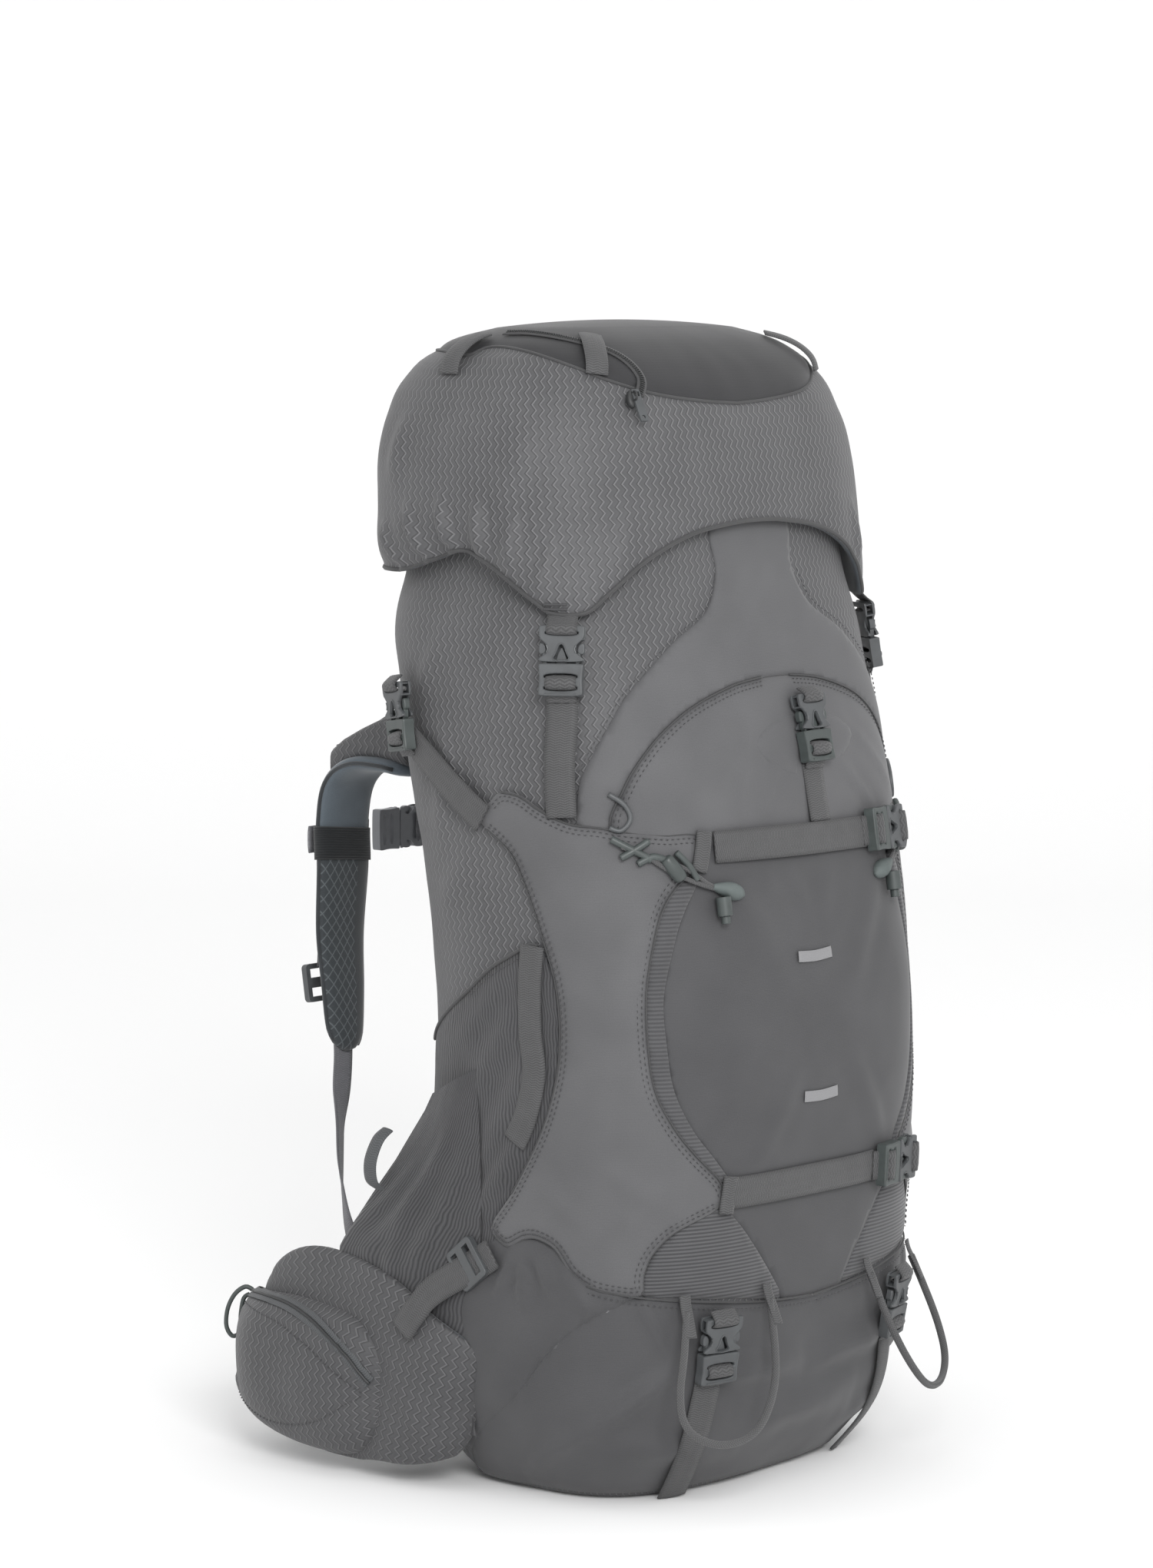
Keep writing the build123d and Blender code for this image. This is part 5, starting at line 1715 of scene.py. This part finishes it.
def back_grid(low, high, first, last, thick, ribs, base=0.6):
    """A closed pad on the back of the bag: rounded edges, a middle channel, and cross channels."""
    across, up = 60, max(20, int((high - low) / 5))
    verts, uvs = [], []
    for j in range(up + 1):
        for i in range(across + 1):
            s, t = i / across * 2 - 1, j / up * 2 - 1
            round_s, round_t = (1 - abs(s) ** 5), (1 - abs(t) ** (9 if ribs > 1 else 4))
            swell = max(0.0, round_s * round_t) ** 0.5
            channel = 0.55 * math.exp(-(s / 0.09) ** 2)
            for r in range(1, ribs):
                channel = max(channel, 0.3 * math.exp(-((t - (2 * r / ribs - 1)) / 0.035) ** 2))
            lift = base + 0.2 + (thick - 0.8) * swell * (1 - channel)
            z = (low + high) / 2 + (high - low) / 2 * t
            degrees = (first + last) / 2 + (last - first) / 2 * s
            verts.append(skin(z, degrees, lift))
            uvs.append((s * 70, z))
    count = (across + 1) * (up + 1)
    faces = grid_faces(up + 1, across + 1)
    for j in range(up + 1):
        for i in range(across + 1):
            s, t = i / across * 2 - 1, j / up * 2 - 1
            z = (low + high) / 2 + (high - low) / 2 * t
            degrees = (first + last) / 2 + (last - first) / 2 * s
            verts.append(skin(z, degrees, base))
            uvs.append((s * 70, z))
    faces += [tuple(k + count for k in f[::-1]) for f in grid_faces(up + 1, across + 1)]
    ring = [i for i in range(across + 1)] + [(across + 1) * j + across for j in range(1, up + 1)]
    ring += [(across + 1) * up + i for i in range(across - 1, -1,
                                                  -1)] + [(across + 1) * j for j in range(up - 1, 0, -1)]
    faces += [(b, a, a + count, b + count) for a, b in zip(ring, ring[1:] + ring[:1])]
    return np.array(verts), faces, np.array(uvs)


WING_ROUTE = [(-148, 2), (-164, 22), (-170, 48), (-168, 84), (-161, 135), (-152, 176), (-133, 203),
              (-103, 216), (-67, 222)]
WING_FACES = [(-0.9, 0.4, 0), (-0.96, 0.2, 0), (-1, 0.05, 0), (-1, 0.05, 0), (-1, 0.15, 0),
              (-0.93, 0.36, 0),
              (-0.6, 0.8, 0), (-0.25, 0.97, 0), (-0.1, 1, 0)]
WING_LOW = [24, 17, 13, 11, 11, 14, 19, 26, 34]
WING_HIGH = [96, 110, 124, 142, 148, 124, 108, 103, 98]
WING_DEPTH = 14.0
# share of the way along the route, height and depth of the pocket
POCKET_ROWS = [(2.45, 60, 5), (3, 92, 15), (4, 100, 24), (5, 92, 24), (6, 76, 15), (7, 58, 5)]


def make_hip_belt():
    """Padded hip wings with their zipped pockets."""
    for side, turn in (("left", 1), ("right", -1)):
        body = "hip_wing_" + side
        middles = [(a + b) / 2 for a, b in zip(WING_LOW, WING_HIGH)]
        halves = [(b - a) / 2 for a, b in zip(WING_LOW, WING_HIGH)]
        centre = [(x + f[0] * WING_DEPTH / 2, y + f[1] * WING_DEPTH / 2, z)
                  for (x, y), f, z in zip(WING_ROUTE, WING_FACES, middles)]
        rows = np.concatenate([np.array(centre, float), np.array(WING_FACES, float) * 20,
                               np.array(halves, float)[:, None]], axis=1)
        line = curve_through(rows, 5.0)
        points, normals, widths = line[:, :3], line[:, 3:6], line[:, 6]
        travel = travel_along(points)
        wide, deep = rounded_ends(widths, np.full(len(points), WING_DEPTH / 2), travel, 12)
        verts, faces, uvs = loft(points, normals, wide, deep, 64, 3.0, 0.8)
        uvs = uvs[:, ::-1]
        creases = fold(uvs, (30, -35), (75, 30), 7, 2.0) + fold(uvs, (12, 20), (60, -50), 8, 1.8)
        creases = creases + fold(uvs, (20, -30), (48, -58), 5, 1.6)
        verts = verts + np.stack([-creases * 0.8, 0 * creases, 0 * creases], -1)
        ids = []
        for f in faces:
            k = min(f[0] // 64, len(points) - 1)
            middle = verts[list(f)].mean(0)
            outer = (middle - points[k]) @ (normals[k] / np.linalg.norm(normals[k])) > -1.0
            ids.append(0 if outer else 1)
        verts = verts * [turn, 1, 1]
        faces = faces if turn > 0 else [f[::-1] for f in faces]
        piece = make_piece("hip_pad_" + side, verts, faces, [HIP_RIPSTOP_PAINTED_SHADE, AIRMESH], None, "ripstop", uvs,
                           ["hip_wing_" + side], ids=ids)
        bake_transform(piece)
        make_hip_pocket(side, turn, body)
    points, normals = space_line([(-88, 236, 70), (-74, 239, 69), (-40, 239, 69)],
                                 [(-0.1, 1, 0), (0, 1, 0), (0, 1, 0)])
    verts, faces, uvs = band(points, normals, 25, 1.8)
    make_piece("hip_webbing_left", verts, faces, WEBBING, "hip_wing_left", "webbing", uvs)
    points, normals = space_line([(22, 239, 69), (74, 239, 69), (88, 236, 70)],
                                 [(0, 1, 0), (0, 1, 0), (0.1, 1, 0)])
    verts, faces, uvs = band(points, normals, 25, 1.8)
    make_piece("hip_webbing_right", verts, faces, WEBBING, "hip_wing_right", "webbing", uvs)


# share of the pocket's length from the bag, and height from -1 to 1
POCKET_ZIP = [(0.04, 0.22), (0.12, 0.52), (0.28, 0.8), (0.48, 0.92), (0.7, 0.94), (0.88, 0.9), (0.97, 0.75)]
POCKET_SEAM = [(0.95, 0.45), (0.86, 0.7), (0.7, 0.78), (0.5, 0.72), (0.33, 0.56), (0.17, 0.26),
               (0.06, -0.02),
               (0.12, -0.24), (0.24, -0.52), (0.4, -0.68), (0.56, -0.72), (0.72, -0.62), (0.84, -0.36),
               (0.95, -0.2)]


# how far the zip's cord puller stands off sideways and hangs down
# half the height of the hip pocket's pattern, in millimetres
POCKET_HALF = 45
PULLER_ROUTE = [(0, 0), (5, 2), (12, -3), (17, -13), (18, -25), (14, -32), (9, -29), (8, -16), (6, -6),
                (2, -3)]


def make_hip_pocket(side, turn, body):
    """A bulging pocket with an arc zip, a stitched face and a moulded puller."""
    base = []
    for share, high, deep in POCKET_ROWS:
        k = min(int(share), len(WING_ROUTE) - 2)
        t = share - k
        x = WING_ROUTE[k][0] * (1 - t) + WING_ROUTE[k + 1][0] * t
        y = WING_ROUTE[k][1] * (1 - t) + WING_ROUTE[k + 1][1] * t
        face = np.array(WING_FACES[k]) * (1 - t) + np.array(WING_FACES[k + 1]) * t
        face = face / np.linalg.norm(face)
        base.append([x + face[0] * (WING_DEPTH - 2), y + face[1] * (WING_DEPTH - 2), 56 + 2 * share,
                     *(face * 20),
                     high / 2, deep + 2.5])
    line = curve_through(np.array(base), 4.0)
    points, normals, halves, depths = line[:, :3], line[:, 3:6], line[:, 6], line[:, 7]
    normals = normals / np.linalg.norm(normals, axis=1, keepdims=True)
    travel = travel_along(points)
    total = travel[-1]
    near = np.clip(np.minimum(travel, total - travel) / 40, 0, 1)
    shape = np.sqrt(np.maximum(1 - (1 - near) ** 2, 0))
    _, across, out = frames_along(points, normals)
    section = 60
    columns = section + 1
    levels = [s / section * 2 - 1 for s in range(columns)]
    zip_line = curve_through([(s * total, v * POCKET_HALF) for s, v in POCKET_ZIP], 3.0)
    seam_line = curve_through([(s * total, v * POCKET_HALF) for s, v in POCKET_SEAM], 3.0)
    spots = np.array([(travel[k], v * POCKET_HALF) for k in range(len(points)) for v in levels])
    dip = 1.8 * np.exp(-(line_distance(spots, zip_line) / 4.0) ** 2)
    dip += 1.1 * np.exp(-(line_distance(spots, seam_line) / 2.4) ** 2)
    dip -= 1.2 * rumple(spots, 30, 3.0)
    for a, b, width, height in (((total * 0.8, -20), (total * 0.62, -34), 4, 1.6),
                                ((total * 0.9, -4), (total * 0.7, -30), 5, 1.5),
                                ((total * 0.3, 30), (total * 0.5, 12), 7, 1.0)):
        dip -= fold(spots, a, b, width, height)

    def place(k, v):
        """A point on the pocket at a whole row k and a height v from -1 to 1."""
        rise = (1 - abs(v) ** 2.6) ** 0.5 * (0.08 + 0.92 * shape[k])
        height = halves[k] * (0.42 + 0.58 * shape[k]) * v
        return points[k] + across[k] * height + out[k] * (depths[k] * rise)

    verts = np.array([place(k, v) for k in range(len(points)) for v in levels])
    fade = np.array([min(1.0, 2.5 * (1 - abs(v))) * shape[k] for k in range(len(points)) for v in levels])
    verts = verts - np.repeat(out, columns, axis=0) * (dip * fade)[:, None]
    uvs = np.array([(travel[k], halves[k] * v) for k in range(len(points)) for v in levels])
    grid = verts.reshape(len(points), columns, 3)
    faces = grid_faces(len(points), columns)
    if turn < 0:
        faces = [f[::-1] for f in faces]
    make_piece("hip_pocket_cloth_" + side, verts * [turn, 1, 1], faces, HIP_RIPSTOP_PAINTED_SHADE, body, "ripstop", uvs,
               ["hip_pocket_" + side])

    def on_pocket(run, lift):
        """The line on the pocket, with its normals."""
        rows = np.interp(run[:, 0], travel, np.arange(len(points)))
        columns_at = (run[:, 1] / POCKET_HALF + 1) / 2 * section
        found, normals_found = [], []
        for r, c in zip(rows, columns_at):
            r0, c0 = min(int(r), len(points) - 2), min(int(c), section - 1)
            fr, fc = r - r0, c - c0
            spot = ((grid[r0, c0] * (1 - fc) + grid[r0, c0 + 1] * fc) * (1 - fr)
                    + (grid[r0 + 1, c0] * (1 - fc) + grid[r0 + 1, c0 + 1] * fc) * fr)
            normal = np.cross(grid[r0, c0 + 1] - grid[r0, c0], grid[r0 + 1, c0] - grid[r0, c0])
            normal = normal / max(np.linalg.norm(normal), 1e-9)
            normal = normal if normal @ out[r0] > 0 else -normal
            found.append(spot + normal * lift)
            normals_found.append(normal)
        return np.array(found) * [turn, 1, 1], np.array(normals_found) * [turn, 1, 1]

    tape, coil, stitch = Parts(), Parts(), Parts()
    spots, ways = on_pocket(zip_line, 0.3)
    tape.add(*band(spots, ways, 9.5, 0.8))
    tape.piece("hip_zip_tape_" + side, DARK_WEBBING, body, "zipper")
    coil.add(*tube(spots + ways * 1.2, 1.1, 6))
    coil.piece("hip_zip_coil_" + side, COIL, body, "zipper")
    seam_spots, seam_ways = on_pocket(seam_line, 0.3)
    stitches(stitch, seam_spots, seam_ways, 0.6)
    stitch.piece("hip_pocket_stitches_" + side, THREAD, body, "webbing", smooth=False)
    aside = np.array([-0.64 * turn, 0.77, 0])
    turning = np.argmax(spots @ aside)  # where the pocket turns to the back
    end, away = spots[turning], ways[turning]
    loop = [end + away * 1.5 + aside * reach + [0, 0, drop] for reach, drop in PULLER_ROUTE]
    puller = Parts()
    puller.add(*tube(curve_through(loop, 1.5), 1.6, 8))
    puller.piece("hip_zip_puller_" + side, HARD_GREEN, body, "zipper")


def make_sternum():
    y, z = 203.0, 410.0
    left = space_line([(-104, y, z), (-70, y, z), (-44, y, z)], [(0, 1, 0)] * 3)
    right = space_line([(6, y, z), (60, y, z), (104, y, z)], [(0, 1, 0)] * 3)
    strap_piece("sternum_webbing", [left, right], 18, HARNESS_WEBBING_PAINTED_LIGHT, "chest_strap", ["sternum_strap"],
                thick=1.5)


# ---------------------------------------------------------------- reflective marks and carried-over parts
def make_marks():
    """Two plain reflective bars on the front pocket."""
    parts = Parts()
    for z in (352, 262):
        points, normals = surface_line([(z, -98), (z - 1, -92), (z, -86)], 6.4, 3.0)
        parts.add(*band(points, normals, 7, 0.4))
    parts.piece("reflective_bars", REFLECTIVE, "pack", "plain_fabric")


def paint_nodes():
    """Materials of the CAD parts that stay."""
    paints = {"frame_sheet": FRAME_PLASTIC, "frame_stays": ALUMINIUM}
    for name, node in nodes.items():
        if node.hide_render:
            continue
        node.data.materials.clear()
        node.data.materials.append(paints.get(name, BUCKLE))


for make in (make_bag, make_bottom, make_front, make_wings, make_side_pockets, make_lid, make_straps,
             seam_pieces,
             make_buckles, make_cords, make_bungee, make_loops, make_zip, make_shoulder_straps,
             make_harness, make_hip_belt,
             make_sternum, make_marks):
    make()
edge_band("lid_edge_binding", 1.5, BINDING, 0.2)
paint_nodes()
